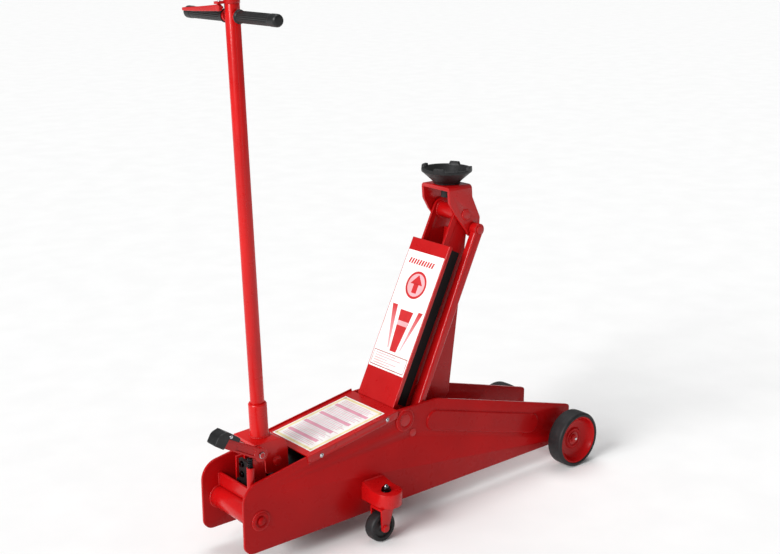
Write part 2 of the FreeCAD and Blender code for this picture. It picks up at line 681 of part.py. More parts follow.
def lifting_arm():
    half = s.arm_width / 2
    gauge = s.arm_gauge
    node("arm_plate_right", arm_plate(-half), ARM)
    node("arm_plate_left", arm_plate(half - gauge), ARM)
    tube_half = half + 3
    tube = rod("y", s.pivot_tube_radius, -tube_half, tube_half * 2, (0, 0))
    bore = rod("y", s.pivot_radius + s.running_gap, -tube_half, tube_half * 2, (0, 0))
    node("arm_pivot_tube", cut(tube, bore), ARM)
    clear = half - gauge
    head = rod("y", s.head_tube_radius, -clear, clear * 2, (s.arm_length, 0))
    head_bore = rod("y", s.head_pin_radius + s.running_gap, -clear, clear * 2, (s.arm_length, 0))
    node("arm_head_tube", cut(head, head_bore), ARM)
    front = (float(s.arm_length) - 44, -float(s.arm_back) + 2)
    lower = (float(s.arm_heel) + 90, -float(s.arm_depth) + 38)
    node("arm_web", slanted(lower[0], lower[1], front[0], front[1], -clear, clear, 6), ARM)
    wide = s.guard_width / 2
    sheet_back = s.arm_back + s.guard_gauge
    face = box(s.guard_start, s.guard_end, -wide, wide, s.arm_back, sheet_back)
    edge_right = box(s.guard_start, s.guard_end, -wide, -wide + s.guard_gauge, sheet_back - s.guard_flange, sheet_back)
    edge_left = box(s.guard_start, s.guard_end, wide - s.guard_gauge, wide, sheet_back - s.guard_flange, sheet_back)
    channel = fuse(face, edge_right, edge_left)
    doc.recompute()
    bends = [
        (number, 3.0, 3.0)
        for number, edge in enumerate(channel.Shape.Edges, start=1)
        if edge.Length > 100
        and all(abs(abs(v.Y) - float(wide)) < 0.01 and abs(v.Z - float(sheet_back)) < 0.01 for v in edge.Vertexes)
    ]
    guard = new("Part::Fillet", "BentGuard")
    guard.Base = channel
    guard.Edges = bends
    node("arm_guard", guard, ARM)
    crank_x = float(s.crank_radius) * math.cos(math.pi / 2 - CRANK + LIFT)
    crank_z = -float(s.crank_radius) * math.sin(math.pi / 2 - CRANK + LIFT)
    node("crank_pin", rod("y", s.crank_pin_radius, -half, half * 2, (crank_x, crank_z)), ARM)


def tie_bar():
    """The right-hand tie bar, which tapers from its lower eye to its upper one."""
    length = s.arm_length
    taper = new("Part::Wedge", "Taper")
    foot_outer = s.tie_foot_inner + s.tie_foot_width
    top_outer = s.tie_inner + s.tie_width
    bind(taper, Ymin=0, Ymax=length, Xmin=-s.tie_front, Xmax=s.tie_foot_depth - s.tie_front,
         X2min=-s.tie_front, X2max=s.tie_depth - s.tie_front, Zmin=-foot_outer, Zmax=-s.tie_foot_inner,
         Z2min=-top_outer, Z2max=-s.tie_inner)
    doc.recompute()
    long_edges = [
        (number, float(s.tie_round), float(s.tie_round))
        for number, edge in enumerate(taper.Shape.Edges, start=1)
        if edge.Length > 0.9 * float(length)
    ]
    soft = new("Part::Fillet", "SoftBar")
    soft.Base = taper
    soft.Edges = long_edges
    soft.Placement = FreeCAD.Placement(Vector(0, 0, 0), FreeCAD.Rotation(Z_AXIS, X_AXIS, Y_AXIS, "ZXY"))
    foot = rod("y", s.tie_foot_eye, -foot_outer, s.tie_foot_width, (0, 0))
    head = rod("y", s.tie_eye, -top_outer, s.tie_width, (length, 0))
    doc.recompute()
    bar = fuse(soft, foot, head)
    foot_bore = rod("y", s.tie_pin_radius + s.running_gap, -foot_outer - 1, s.tie_foot_width + 2, (0, 0))
    head_bore = rod("y", s.tie_pin_radius + s.tie_pin_gap, -top_outer - 1, s.tie_width + 2, (length, 0))
    return cut(bar, foot_bore, head_bore)


def tie_bars():
    frame = FreeCAD.Placement(
        Vector(float(s.pivot_at + s.tie_ahead - s.origin_setback), 0, float(s.pivot_height - s.tie_below)),
        spin(Y_AXIS, -float(s.arm_raise)),
    )
    node("tie_bar_left", mirrored(tie_bar()), frame)
    node("tie_bar_right", tie_bar(), frame)


# ---------------------------------------------------------------- saddle (x, z from the head pin)

def head_place():
    """The head pin's place with the arm raised."""
    reach = float(s.arm_length)
    return Vector(float(s.pivot_at - s.origin_setback) + reach * math.cos(LIFT), 0,
                  float(s.pivot_height) + reach * math.sin(LIFT))


def saddle_head():
    frame = FreeCAD.Placement(head_place(), spin(Y_AXIS, 0))
    half = s.bracket_width / 2
    gauge = s.bracket_gauge
    back, front, top = -s.bracket_back, s.bracket_front, s.bracket_top
    eye = s.bracket_eye
    tie_x, tie_z = s.tie_ahead, -s.tie_below
    whole = plate((
        (back, top),
        (front, top),
        (front + 3, top - 37),
        (tie_x + eye, -14, 12),
        (tie_x + eye - 2, tie_z),
        (tie_x - 10, tie_z - eye + 2, 14),
        (-42, 5),
        (back + 4, 40, 20),
    ), -half, half)
    lower_eye = rod("y", eye, -half, half * 2, (tie_x, tie_z))
    inside = box(back - 1, tie_x + eye + 5, -half + gauge, half - gauge, tie_z - eye - 1, top - 12)
    pin_holes = rod("y", s.head_pin_radius, -half, half * 2, (0, 0))
    tie_holes = rod("y", s.tie_pin_radius, -half, half * 2, (tie_x, tie_z))
    saddle_x = (front - s.bracket_back) / 2
    stem_hole = rod("z", s.stem_radius + s.running_gap, top - 12, 12, (saddle_x, 0))
    folds = []
    for side in (-1, 1):
        middle = side * (half - s.bracket_bend)
        edge = side * (half + 1)
        low, high = (edge, middle) if side < 0 else (middle, edge)
        corner = box(back - 1, front + 1, low, high, top - s.bracket_bend, top + 1)
        bend = rod("x", s.bracket_bend, back - 1, front - back + 2, (middle, top - s.bracket_bend))
        folds.append(cut(corner, bend))
    bracket = cut(fuse(whole, lower_eye), inside, pin_holes, tie_holes, stem_hole, *folds)
    node("saddle_bracket", bracket, frame)
    node("head_pin", rod("y", s.head_pin_radius, -half - 3, half * 2 + 6, (0, 0)), frame)
    outer = s.tie_inner + s.tie_width + 3
    tie_pin = rod("y", s.tie_pin_radius, -outer, outer - half + gauge, (tie_x, tie_z))
    node("tie_upper_pins", both_sides(tie_pin), frame)
    saddle(frame, saddle_x, top)


def saddle(frame, at, base):
    """Cast saddle: a dished cup on a stem, with four lugs on its rim."""
    rim = s.saddle_radius
    foot = s.saddle_foot
    tall = s.saddle_height
    floor = 12
    cup = turned((
        (0, -s.stem_length), (s.stem_radius, -s.stem_length), (s.stem_radius, 0), (foot, 0), (foot, 5),
        (rim - 3, tall - 11), (rim, tall - 8), (rim, tall), (rim - 9, tall), (rim - 12, tall - 4),
        (foot - 6, floor), (0, floor),
    ))
    wide = s.saddle_lug_width / 2
    lugs = []
    for angle in (0, 90, 180, 270):
        lug = box(rim - 13, rim - 1, -wide, wide, tall - 3, tall + s.saddle_lug)
        turn = spin(Z_AXIS, angle + 28)
        lug.Placement = FreeCAD.Placement(turn.multVec(lug.Placement.Base), turn)
        lugs.append(lug)
    whole = fuse(cup, *lugs)
    whole.Placement.Base = Vector(float(at), 0, float(base))
    node("saddle", whole, frame)


# ---------------------------------------------------------------- handle (from its pivot, z up the tube)

def yoke():
    half = s.yoke_width / 2
    gauge = s.yoke_gauge
    shell = plate((
        (-s.yoke_back, s.yoke_top),
        (-s.yoke_back, s.yoke_top - 24, 8),
        (-36, 12, 8),
        (-36, -s.yoke_drop, 10),
        (s.yoke_front, -s.yoke_drop, 10),
        (s.yoke_front, s.yoke_top, s.yoke_round),
    ), -half, half)
    hollow = plate((
        (-s.yoke_back - 1, s.yoke_top - 10),
        (-s.yoke_back - 1, -s.yoke_drop - 1),
        (s.yoke_front - gauge, -s.yoke_drop - 1),
        (s.yoke_front - gauge, s.yoke_top - 10, s.yoke_round - gauge),
    ), -half + gauge, half - gauge)
    mouth = box(-s.yoke_back, s.yoke_front + 1, -half + gauge, half - gauge, -s.yoke_drop - 1, 12)
    bolt_holes = rod("y", s.yoke_bolt_radius, -half, half * 2, (0, 0))
    node("yoke", cut(shell, hollow, mouth, bolt_holes), HANDLE)
    bolt = rod("y", s.yoke_bolt_radius, -half - 3, half * 2 + 6, (0, 0))
    heads = []
    for side in (-1, 1):
        head = turned(((0, 0), (14, 0), (14, 2), (12, 2.4), (11, 7), (9.5, 8), (0, 8)))
        head.Placement = FreeCAD.Placement(Vector(0, side * float(half), 0), spin(X_AXIS, -side * 90))
        heads.append(head)
    node("yoke_bolt", fuse(bolt, *heads), HANDLE)
    reach = -s.roller_reach
    roller = rod("y", s.roller_radius, -s.roller_radius, s.roller_radius * 2, (reach, 0))
    pin = rod("y", s.roller_pin, -half + gauge, (half - gauge) * 2, (reach, 0))
    node("pump_roller", fuse(roller, pin), HANDLE)


def handle_tube():
    """Sleeve, long tube, cap, cross bar and grips."""
    axis = -s.handle_set
    top = s.yoke_top
    pole_start = top + 4
    sleeve = turned((
        (s.pole_radius, 0), (s.sleeve_radius + 1.5, 0), (s.sleeve_radius, 6), (s.sleeve_radius, s.sleeve_length - 3),
        (s.sleeve_radius - 2, s.sleeve_length), (s.pole_radius, s.sleeve_length),
    ), "z", (axis, 0, top))
    screw_height = top + s.sleeve_length - 26
    screw_hole = rod("x", 4, axis, s.sleeve_radius + 2, (0, screw_height))
    node("handle_sleeve", cut(sleeve, screw_hole), HANDLE)
    screw = rod("x", 4, axis + s.pole_radius, s.sleeve_radius - s.pole_radius + 3, (0, screw_height))
    node("sleeve_screw", screw, HANDLE)
    bar_height = s.pole_top - s.cross_bar_drop
    outer = rod("z", s.pole_radius, pole_start, s.pole_top - pole_start, (axis, 0))
    inner = rod("z", s.pole_radius - s.pole_wall, pole_start, s.pole_top - pole_start, (axis, 0))
    cross_hole = rod("y", s.cross_bar_radius, -s.pole_radius - 1, s.pole_radius * 2 + 2, (axis, bar_height))
    node("handle_tube", cut(outer, inner, cross_hole), HANDLE)
    lug_y = 10
    cap = turned((
        (0, 0), (s.pole_radius + 1.5, 0), (s.pole_radius + 1.5, 8), (s.pole_radius - 2, 12), (0, 12.5),
    ), "z", (axis, 0, s.pole_top))
    ear = box(axis - s.lever_reach - 8, axis - s.pole_radius + 4, lug_y - 9, lug_y + 9, s.pole_top, s.pole_top + 6)
    rod_hole = rod("z", s.rod_radius + 1, s.pole_top - 1, 20, (axis, 0))
    node("handle_cap", cut(fuse(cap, ear), rod_hole), HANDLE)
    bar = rod("y", s.cross_bar_radius, -s.grip_right_end + 4, s.grip_left_end + s.grip_right_end - 8,
              (axis, bar_height))
    collar = rod("y", s.cross_bar_radius + 4, s.pole_radius, 9, (axis, bar_height))
    collar_right = rod("y", s.cross_bar_radius + 3, -s.pole_radius - 6, 6, (axis, bar_height))
    rod_way = rod("z", s.rod_radius + 1, bar_height - s.cross_bar_radius - 1, s.cross_bar_radius * 2 + 2, (axis, 0))
    node("cross_bar", cut(fuse(bar, collar, collar_right), rod_way), HANDLE)
    grips = []
    for side, reach in ((1, s.grip_left_end), (-1, s.grip_right_end)):
        start = s.grip_start
        grip = turned((
            (s.cross_bar_radius, start), (s.grip_radius + 2, start), (s.grip_radius + 2, start + 5),
            (s.grip_radius - 0.5, start + 7), (s.grip_radius - 0.5, reach - 28), (s.grip_radius + 0.5, reach - 26),
            (s.grip_radius + 0.5, reach - 5), (s.grip_radius - 4, reach), (0, reach), (0, reach - 4),
            (s.cross_bar_radius, reach - 4),
        ))
        turn = spin(X_AXIS, -side * 90)
        grip.Placement = FreeCAD.Placement(Vector(float(axis), 0, float(bar_height)), turn)
        grips.append(grip)
    node("grips", group(*grips), HANDLE)
    release(axis, lug_y)


def release(axis, lug_y):
    """Release lever hinged under the cap's ear, and the rod it pulls inside the tube."""
    back = axis - s.lever_reach
    height = s.pole_top - 13
    tip_drop = 6
    blade = plate((
        (lug_y - 6, height - 3), (lug_y + 30, height - 6), (s.lever_length, height - tip_drop - 7, 3),
        (s.lever_length, height - tip_drop + 1, 3), (lug_y + 30, height + 7), (lug_y - 6, height + 12.6),
    ), -4, 4)
    blade.Placement = FreeCAD.Placement(Vector(float(back), 0, 0), spin(Z_AXIS, 90))
    eye = rod("y", 8.5, -5, 10, (lug_y, height + 4))
    eye.Placement = blade.Placement * eye.Placement
    stalk = rod("x", 3, back, s.lever_reach - s.pole_radius - 1, (lug_y, height + 4))
    node("release_lever", fuse(blade, eye, stalk), HANDLE)
    start = s.yoke_top + 10
    node("release_rod", rod("z", s.rod_radius, start, s.pole_top + 8 - start, (axis, 0)), HANDLE)


# ---------------------------------------------------------------- pumps and pedal

def spring_between(low, high, radius, turns, at):
    """A compression spring of square wire standing on z = low."""
    wire = float(s.spring_wire)
    rise = float(high) - float(low) - wire
    helix = Part.makeHelix(rise / turns, rise, radius)
    half = wire / 2
    section = Part.makePolygon([Vector(radius + x * half, 0, z * half)
                                for x, z in ((-1, -1), (1, -1), (1, 1), (-1, 1), (-1, -1))])
    coil = Part.Wire(helix).makePipeShell([section], True, True)
    spring = new("Part::Feature", "Spring")
    spring.Shape = coil
    spring.Placement = FreeCAD.Placement(Vector(float(at[0]), float(at[1]), float(low) + wire / 2), spin(Z_AXIS, 0))
    return spring


def hand_pump():
    at = s.yoke_at - s.roller_reach
    lean = math.radians(float(s.handle_lean))
    roller_drop = float(s.roller_reach) * math.sin(lean)
    head_top = s.yoke_height - s.roller_radius - s.plunger_gap - roller_drop
    head_gauge = 4
    stroke = 30
    bottom = s.block_bottom + 24 + stroke
    stem = rod("z", s.plunger_radius, bottom, head_top - head_gauge - bottom, (at, 0))
    head = rod("z", s.plunger_head, head_top - head_gauge, head_gauge, (at, 0))
    node("hand_plunger", fuse(stem, head))
    coil_radius = float(s.plunger_radius) + 3.4
    node("plunger_spring", spring_between(s.block_top, head_top - head_gauge, coil_radius, 7, (at, 0)))


def pedal_pump():
    """Pedal bracket, pedal, rubber pad and the foot pump below the pedal."""
    at, height = s.pedal_at, s.pedal_height
    inner = s.pedal_inner
    outer = inner + s.pedal_width
    block_side = s.block_width / 2
    wall = plate((
        (at - 19, height),
        (at - 19, s.tube_height + s.tube_radius + s.bar_plate_height + 4.5),
        (s.block_start + 1, s.tube_height + s.tube_radius + s.bar_plate_height + 4.5),
        (s.block_start + 1, s.block_top - 60),
        (at + 34, s.block_top - 60),
        (at + 34, s.block_top),
        (at + 19, height),
    ), -block_side - 7, -block_side)
    cap = rod("y", 19, -block_side - 7, 7, (at, height))
    shaft = rod("y", s.pedal_shaft_radius, -outer - 4, outer + 4 - block_side, (at, height))
    node("pedal_bracket", fuse(wall, cap, shaft))

    deep = s.pedal_depth / 2
    reach = -s.pedal_length
    tilt = FreeCAD.Placement(Vector(float(at), 0, float(height)), spin(Y_AXIS, float(s.pedal_rise)))
    bar = box(reach, 0, -outer, -inner, -deep, deep)
    hub = rod("y", s.pedal_hub, -outer, s.pedal_width, (0, 0))
    bore = rod("y", s.pedal_shaft_radius + s.running_gap, -outer, s.pedal_width, (0, 0))
    groove = box(reach + s.pad_length + 6, -s.pedal_hub - 4, -outer - 1, -outer + 3, -deep + 6, deep - 6)
    arm = cut(fuse(bar, hub), bore, groove)
    arm.Placement = tilt
    node("pedal_arm", arm)
    pad_half = s.pad_width / 2
    middle = -(inner + s.pedal_width / 2)
    block = plate((
        (reach - 9, -deep + 1, 4),
        (reach + 26, -deep - 3),
        (reach + 30, deep),
        (reach + s.pad_length, deep),
        (reach + s.pad_length, deep + 11, 4),
        (reach + 12, deep + 15, 10),
        (reach - 9, deep - 1, 8),
    ), middle - pad_half, middle + pad_half)
    pad = cut(block, box(reach, reach + 32, -outer, -inner, -deep, deep))
    pad.Placement = tilt
    node("pedal_pad", pad)
    foot_pump()


def foot_pump():
    """Foot pump bolted to the pedal bracket, and the plunger under the pedal arm."""
    at, height = s.pedal_at - s.foot_pump_set, s.pedal_height
    side = -(s.pedal_inner + s.pedal_width / 2)
    bracket_face = -(s.block_width / 2) - 7
    low = s.tube_height + s.tube_radius + 4.5
    top = s.valve_top + 26
    barrel = rod("z", s.foot_barrel_radius, low, top - low, (at, side))
    lug = box(at, s.pedal_at - 2, side, bracket_face, top - 70, top - 56)
    bore = rod("z", s.foot_plunger_radius + s.running_gap, top - 88, 88, (at, side))
    node("foot_pump_barrel", cut(fuse(barrel, lug), bore))
    rise = math.radians(float(s.pedal_rise))
    near = (float(s.foot_pump_set) - 7) * math.tan(rise) - float(s.pedal_depth) / 2 / math.cos(rise)
    tip = height + near - 1
    stem = rod("z", s.foot_plunger_radius, top - 66, tip - top + 66, (at, side))
    button = rod("z", 7, tip - 5, 5, (at, side))
    node("foot_plunger", fuse(stem, button))


# ---------------------------------------------------------------- wheels

def front_wheels():
    """Stub axle, rubber tyre and dished steel wheel, on both sides."""
    inner = HALF + s.wheel_gap
    outer = inner + s.wheel_width
    radius = s.wheel_radius
    rim = radius - s.tyre_wall
    face = outer - 22
    edge = 6
    axle = turned((
        (0, HALF - s.plate_gauge), (20, HALF - s.plate_gauge), (20, HALF), (24, HALF), (24, inner - 1),
        (s.axle_radius, inner - 1), (s.axle_radius, face + 4), (s.axle_radius - 6, face + 5),
        (s.axle_radius - 6, face + 8), (0, face + 9),
    ))
    axle.Placement = FreeCAD.Placement(Vector(float(s.wheel_at), 0, float(radius)), spin(X_AXIS, 90))
    node("front_stub_axles", both_sides(axle))
    tyre = (
        (rim, inner), (radius - edge, inner), (radius, inner + edge), (radius, outer - edge),
        (radius - edge, outer), (rim, outer),
    )
    wheel = (
        (s.axle_radius + s.running_gap, inner), (26, inner), (26, inner + 14), (rim - 8, inner + 20),
        (rim - 8, inner + 2), (rim, inner + 2), (rim, outer - 2), (rim - 5, outer - 2), (rim - 9, outer - 9),
        (rim - 16, face - 2), (30, face - 6), (24, face), (s.axle_radius + s.running_gap, face),
    )
    for profile, label in ((tyre, "front_tyre"), (wheel, "front_wheel")):
        for side, turn in (("left", -90), ("right", 90)):
            piece = turned(profile)
            piece.Placement = FreeCAD.Placement(Vector(float(s.wheel_at), 0, float(radius)), spin(X_AXIS, turn))
            node(f"{label}_{side}", piece)


def caster_brackets():
    """Welded shelves that carry the casters, and the king pins through them."""
    at = s.caster_at
    swivel = HALF + s.caster_out
    top = s.shelf_top
    under = top - s.shelf_gauge
    round_end = rod("z", s.shelf_radius, under, s.shelf_gauge, (at + 6, -swivel))
    slab = box(at + 6 - s.shelf_radius, at + 6 + s.shelf_radius, -swivel, -HALF, under, top)
    slope = plate((
        (0, 0), (s.caster_out * 0.7, 0), (0, 12),
    ), 2 - s.shelf_radius, s.shelf_radius - 2)
    slope.Placement = FreeCAD.Placement(Vector(float(at) + 6, -float(HALF), float(top)), spin(Z_AXIS, -90))
    hole = rod("z", s.king_radius, under, s.shelf_gauge + 30, (at, -swivel))
    shelf = cut(fuse(round_end, slab, slope), hole)
    node("caster_brackets", both_sides(shelf))
    pin = turned((
        (0, under - 13), (s.king_radius + 4, under - 13), (s.king_radius + 4, under - 10), (s.king_radius, under - 10),
        (s.king_radius, top), (14, top), (14, top + 3), (10, top + 3), (9, top + 10), (5, top + 17), (0, top + 20),
    ), "z", (at, -swivel, 0))
    node("caster_king_pins", both_sides(pin))


def caster(side):
    """A swivel fork with its axle, and the wheel in it."""
    at = s.caster_at
    out = (HALF + s.caster_out) * side
    under = s.shelf_top - s.shelf_gauge
    gauge = s.fork_gauge
    half = s.caster_width / 2 + s.side_gap
    axle_x = at - s.caster_trail
    plate_top = under - 0.6
    crown = rod("z", 29, plate_top - gauge, gauge, (at, out))
    bridge = box(axle_x - 14, at, out - half - gauge, out + half + gauge, plate_top - gauge, plate_top)
    hole = rod("z", s.king_radius + s.running_gap, plate_top - gauge, gauge, (at, out))
    legs = []
    for low in (out - half - gauge, out + half):
        legs.append(plate((
            (axle_x - 14, plate_top - gauge), (axle_x - 12, s.caster_radius), (axle_x + 12, s.caster_radius),
            (at + 6, plate_top - gauge),
        ), low, low + gauge))
        legs.append(rod("y", 12, low, gauge, (axle_x, s.caster_radius)))
    axle = rod("y", s.caster_axle, out - half - gauge - 5, (half + gauge + 5) * 2, (axle_x, s.caster_radius))
    nut = rod("y", 9.5, out - half - gauge - 4, 4, (axle_x, s.caster_radius))
    nut_far = rod("y", 9.5, out + half + gauge, 4, (axle_x, s.caster_radius))
    fork = cut(fuse(crown, bridge, *legs), hole)
    name = "left" if side > 0 else "right"
    node(f"caster_fork_{name}", fuse(fork, axle, nut, nut_far))
    radius = s.caster_radius
    wide = s.caster_width / 2
    wheel = turned((
        (s.caster_axle + s.running_gap, -wide), (14, -wide), (16, -wide + 4), (radius - 12, -wide + 4),
        (radius - 8, -wide), (radius - 4, -wide), (radius, -wide + 4), (radius, wide - 4), (radius - 4, wide),
        (radius - 8, wide), (radius - 12, wide - 4), (16, wide - 4), (14, wide), (s.caster_axle + s.running_gap, wide),
    ), "y", (axle_x, out, s.caster_radius))
    node(f"caster_wheel_{name}", wheel)


def check_and_write():
    """Refuse a failed or empty piece, then write every node."""
    doc.recompute()
    for thing in doc.Objects:
        if "Invalid" in thing.State or "Error" in thing.State:
            raise RuntimeError(f"{thing.Name} failed: {thing.State}")
    labels = [piece.Label for piece in NODES]
    if len(set(labels)) != len(labels):
        raise RuntimeError("two pieces share a label")
    os.makedirs("parts", exist_ok=True)
    for piece in NODES:
        shape = piece.Shape
        if shape.isNull() or not shape.isValid() or not shape.Solids:
            raise RuntimeError(f"{piece.Label} has no valid solid")
        shape.exportStep(f"parts/{piece.Label}.step")
    print(len(NODES), "nodes written")


chassis()
bosses()
cover()
hydraulics()
ram()
lifting_arm()
tie_bars()
saddle_head()
yoke()
handle_tube()
hand_pump()
pedal_pump()
front_wheels()
caster_brackets()
caster(-1)
caster(1)
check_and_write()
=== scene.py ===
"""Long-chassis trolley jack with its arm raised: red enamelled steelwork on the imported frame.

Lengths inside the shape functions are millimetres in a local frame.
put() stands them in the jack's frame in metres.
"""

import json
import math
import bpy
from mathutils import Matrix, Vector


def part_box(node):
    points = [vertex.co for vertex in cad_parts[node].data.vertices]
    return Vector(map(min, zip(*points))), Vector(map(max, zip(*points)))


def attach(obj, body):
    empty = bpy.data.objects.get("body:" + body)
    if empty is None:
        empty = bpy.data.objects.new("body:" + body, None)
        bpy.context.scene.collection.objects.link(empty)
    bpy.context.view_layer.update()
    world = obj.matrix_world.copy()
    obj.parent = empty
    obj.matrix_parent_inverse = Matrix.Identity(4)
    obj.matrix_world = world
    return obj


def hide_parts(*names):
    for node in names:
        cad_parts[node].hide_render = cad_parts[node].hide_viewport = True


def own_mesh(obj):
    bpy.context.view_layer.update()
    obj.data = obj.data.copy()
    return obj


bl_info = {
    "name": "Trolley Jack",
    "version": (1, 0, 0),
    "blender": (4, 5, 0),
    "location": "View3D > Sidebar > Jack",
    "description": "Finished pieces, finishes and studio for a high-lift trolley jack",
    "category": "Object",
}

import bmesh
import bpy
import numpy as np
from mathutils import Matrix, Vector

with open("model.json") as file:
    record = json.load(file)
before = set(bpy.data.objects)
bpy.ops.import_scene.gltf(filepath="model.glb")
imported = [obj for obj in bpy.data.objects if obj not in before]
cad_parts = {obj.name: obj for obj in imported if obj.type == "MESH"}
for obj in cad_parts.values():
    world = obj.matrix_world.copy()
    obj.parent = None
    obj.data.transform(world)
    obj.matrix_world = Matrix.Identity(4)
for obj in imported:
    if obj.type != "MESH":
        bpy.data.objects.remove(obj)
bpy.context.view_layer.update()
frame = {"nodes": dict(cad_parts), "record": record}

MM = 0.001
X = np.array((1.0, 0.0, 0.0))
Y = np.array((0.0, 1.0, 0.0))
Z = np.array((0.0, 0.0, 1.0))


# ---------------------------------------------------------------- places taken from the frame


def joint(name):
    """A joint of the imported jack, by name."""
    return next(j for j in frame["record"]["behaviour"]["joints"] if j["name"] == name)


def pivot(name):
    """The place of a joint's axis, in mm."""
    return np.array(joint(name)["pos_m"]) / MM


def extent(node):
    """Lowest and highest corner of a CAD node, in mm."""
    low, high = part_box(node)
    return np.array(low) / MM, np.array(high) / MM


def unit(vectors):
    """Each vector divided by its own length."""
    return vectors / np.maximum(np.linalg.norm(vectors, axis=-1, keepdims=True), 1e-12)


def stand(origin, along_z, along_x):
    """A local frame: its origin in mm and the matrix whose columns are its x, y and z directions."""
    z = unit(np.asarray(along_z, float))
    x = unit(np.asarray(along_x, float) - z * np.dot(z, along_x))
    return np.asarray(origin, float), np.column_stack((x, np.cross(z, x), z))


def put(points, place):
    """Local millimetres to the jack's metres: origin + matrix times point."""
    origin, turn = place
    return (points @ turn.T + origin) * MM


ARM_FOOT = pivot("arm_lift")
ARM_HEAD = pivot("saddle_level")
ARM_LINE = unit(ARM_HEAD - ARM_FOOT)
ARM_BACK = np.cross(ARM_LINE, Y)
HANDLE_LINE = np.array(joint("release_pull")["axis"])
HANDLE_FRONT = np.cross(Y, HANDLE_LINE)
HANDLE = stand(pivot("handle_swing"), HANDLE_LINE, HANDLE_FRONT)


# ---------------------------------------------------------------- surfaces


def grid_faces(rows, columns, wrap_rows=False, wrap_columns=True):
    """Quads between neighbouring lines of a grid; a wrapped way joins its last line to its first."""
    i, j = np.meshgrid(
        np.arange(rows if wrap_rows else rows - 1),
        np.arange(columns if wrap_columns else columns - 1),
        indexing="ij",
    )
    k, m = (i + 1) % rows, (j + 1) % columns
    return np.stack((i * columns + j, i * columns + m, k * columns + m, k * columns + j), -1).reshape(-1, 4)


def eased(corners, cuts, closed=False, steps=6):
    """An outline with eased corners: P becomes (1-t)^2 A + 2t(1-t) P + t^2 B.

    A and B lie a cut's length before and after P."""
    corners = np.asarray(corners, float)
    before = np.roll(corners, 1, 0) - corners
    after = np.roll(corners, -1, 0) - corners
    cuts = np.broadcast_to(np.asarray(cuts, float), len(corners))[:, None]
    a = corners + unit(before) * np.minimum(cuts, np.linalg.norm(before, axis=1, keepdims=True) * 0.49)
    b = corners + unit(after) * np.minimum(cuts, np.linalg.norm(after, axis=1, keepdims=True) * 0.49)
    t = np.linspace(0, 1, steps)[None, :, None]
    curve = (1 - t) ** 2 * a[:, None] + 2 * t * (1 - t) * corners[:, None] + t**2 * b[:, None]
    if closed:
        return curve.reshape(-1, 2)
    return np.vstack((corners[:1], curve[1:-1].reshape(-1, 2), corners[-1:]))


def turned(outline, place, around=96, radius=None, lift=None, closed=False):
    """A turned surface about the local z: x = r cos a, y = r sin a, z = h, for each (r, h) of the outline.

    radius(r, a) may change the radius round the piece, and lift(row, a) may add to the height."""
    r, h = np.asarray(outline, float).T
    a = np.arange(around) * (2 * np.pi / around)
    reach = np.repeat(r[:, None], around, 1) if radius is None else radius(r[:, None], a[None, :], h[:, None])
    tall = np.repeat(h[:, None], around, 1)
    if lift is not None:
        tall = tall + lift(np.arange(len(r))[:, None], a[None, :])
    points = np.stack((reach * np.cos(a), reach * np.sin(a), tall), -1)
    return put(points.reshape(-1, 3), place), grid_faces(len(r), around, wrap_rows=closed)


def carried(profile, path, up, wide=1.0, tall=1.0, closed=False):
    """A profile carried along a path: P(s, k) = path(s) + wide(s) p_k side(s) + tall(s) q_k up(s).

    The side is the path's direction x up.
    An open path gets a closed end at each end, where the profile shrinks to the path."""
    path = np.asarray(path, float)
    step = np.roll(path, -1, 0) - np.roll(path, 1, 0) if closed else np.gradient(path, axis=0)
    ahead = unit(step)
    up = np.broadcast_to(np.asarray(up, float), path.shape)
    side = unit(np.cross(ahead, up))
    rise = unit(np.cross(side, ahead))
    wide = np.broadcast_to(np.asarray(wide, float), len(path))
    tall = np.broadcast_to(np.asarray(tall, float), len(path))
    if not closed:
        pick = np.r_[0, np.arange(len(path)), len(path) - 1]
        path, side, rise = path[pick], side[pick], rise[pick]
        wide, tall = wide[pick].copy(), tall[pick].copy()
        wide[[0, -1]] = 0
        tall[[0, -1]] = 0
    profile = np.asarray(profile, float)
    across = profile[None, :, 0, None] * wide[:, None, None] * side[:, None]
    over = profile[None, :, 1, None] * tall[:, None, None] * rise[:, None]
    points = path[:, None] + across + over
    return points.reshape(-1, 3), grid_faces(len(path), len(profile), wrap_rows=closed)


def circle(radius, count=16):
    """Points of a circle."""
    a = np.arange(count) * (2 * np.pi / count)
    return np.column_stack((radius * np.cos(a), radius * np.sin(a)))


def hexagon(across):
    """Radius that trims a turned piece to six flats: min(r, F / 2 / cos a), with a within 30 degrees."""
    return lambda r, a, h: np.minimum(r, across / 2 / np.cos((a + np.pi / 6) % (np.pi / 3) - np.pi / 6))


def helix(radius, low, high, turns, per_turn=28):
    """A compression spring's line: x = R cos a, y = R sin a, z rising evenly, a flat turn at each end."""
    a = np.linspace(0, turns * 2 * np.pi, int(turns * per_turn) + 1)
    rise = np.clip((a - 2 * np.pi) / ((turns - 2) * 2 * np.pi), 0, 1)
    return np.column_stack((radius * np.cos(a), radius * np.sin(a), low + (high - low) * rise))


def slips(quads, floor, top):
    """Thin closed slabs: each quad of local x and y stands from height floor to top."""
    quads = np.asarray(quads, float)
    lower = np.concatenate((quads, np.full(quads.shape[:2] + (1,), floor)), -1)
    upper = np.concatenate((quads, np.full(quads.shape[:2] + (1,), top)), -1)
    points = np.concatenate((lower, upper), 1).reshape(-1, 3)
    sides = np.array(((3, 2, 1, 0), (4, 5, 6, 7), (0, 1, 5, 4), (1, 2, 6, 5), (2, 3, 7, 6), (3, 0, 4, 7)))
    return points, (sides[None] + np.arange(len(quads))[:, None, None] * 8).reshape(-1, 4)


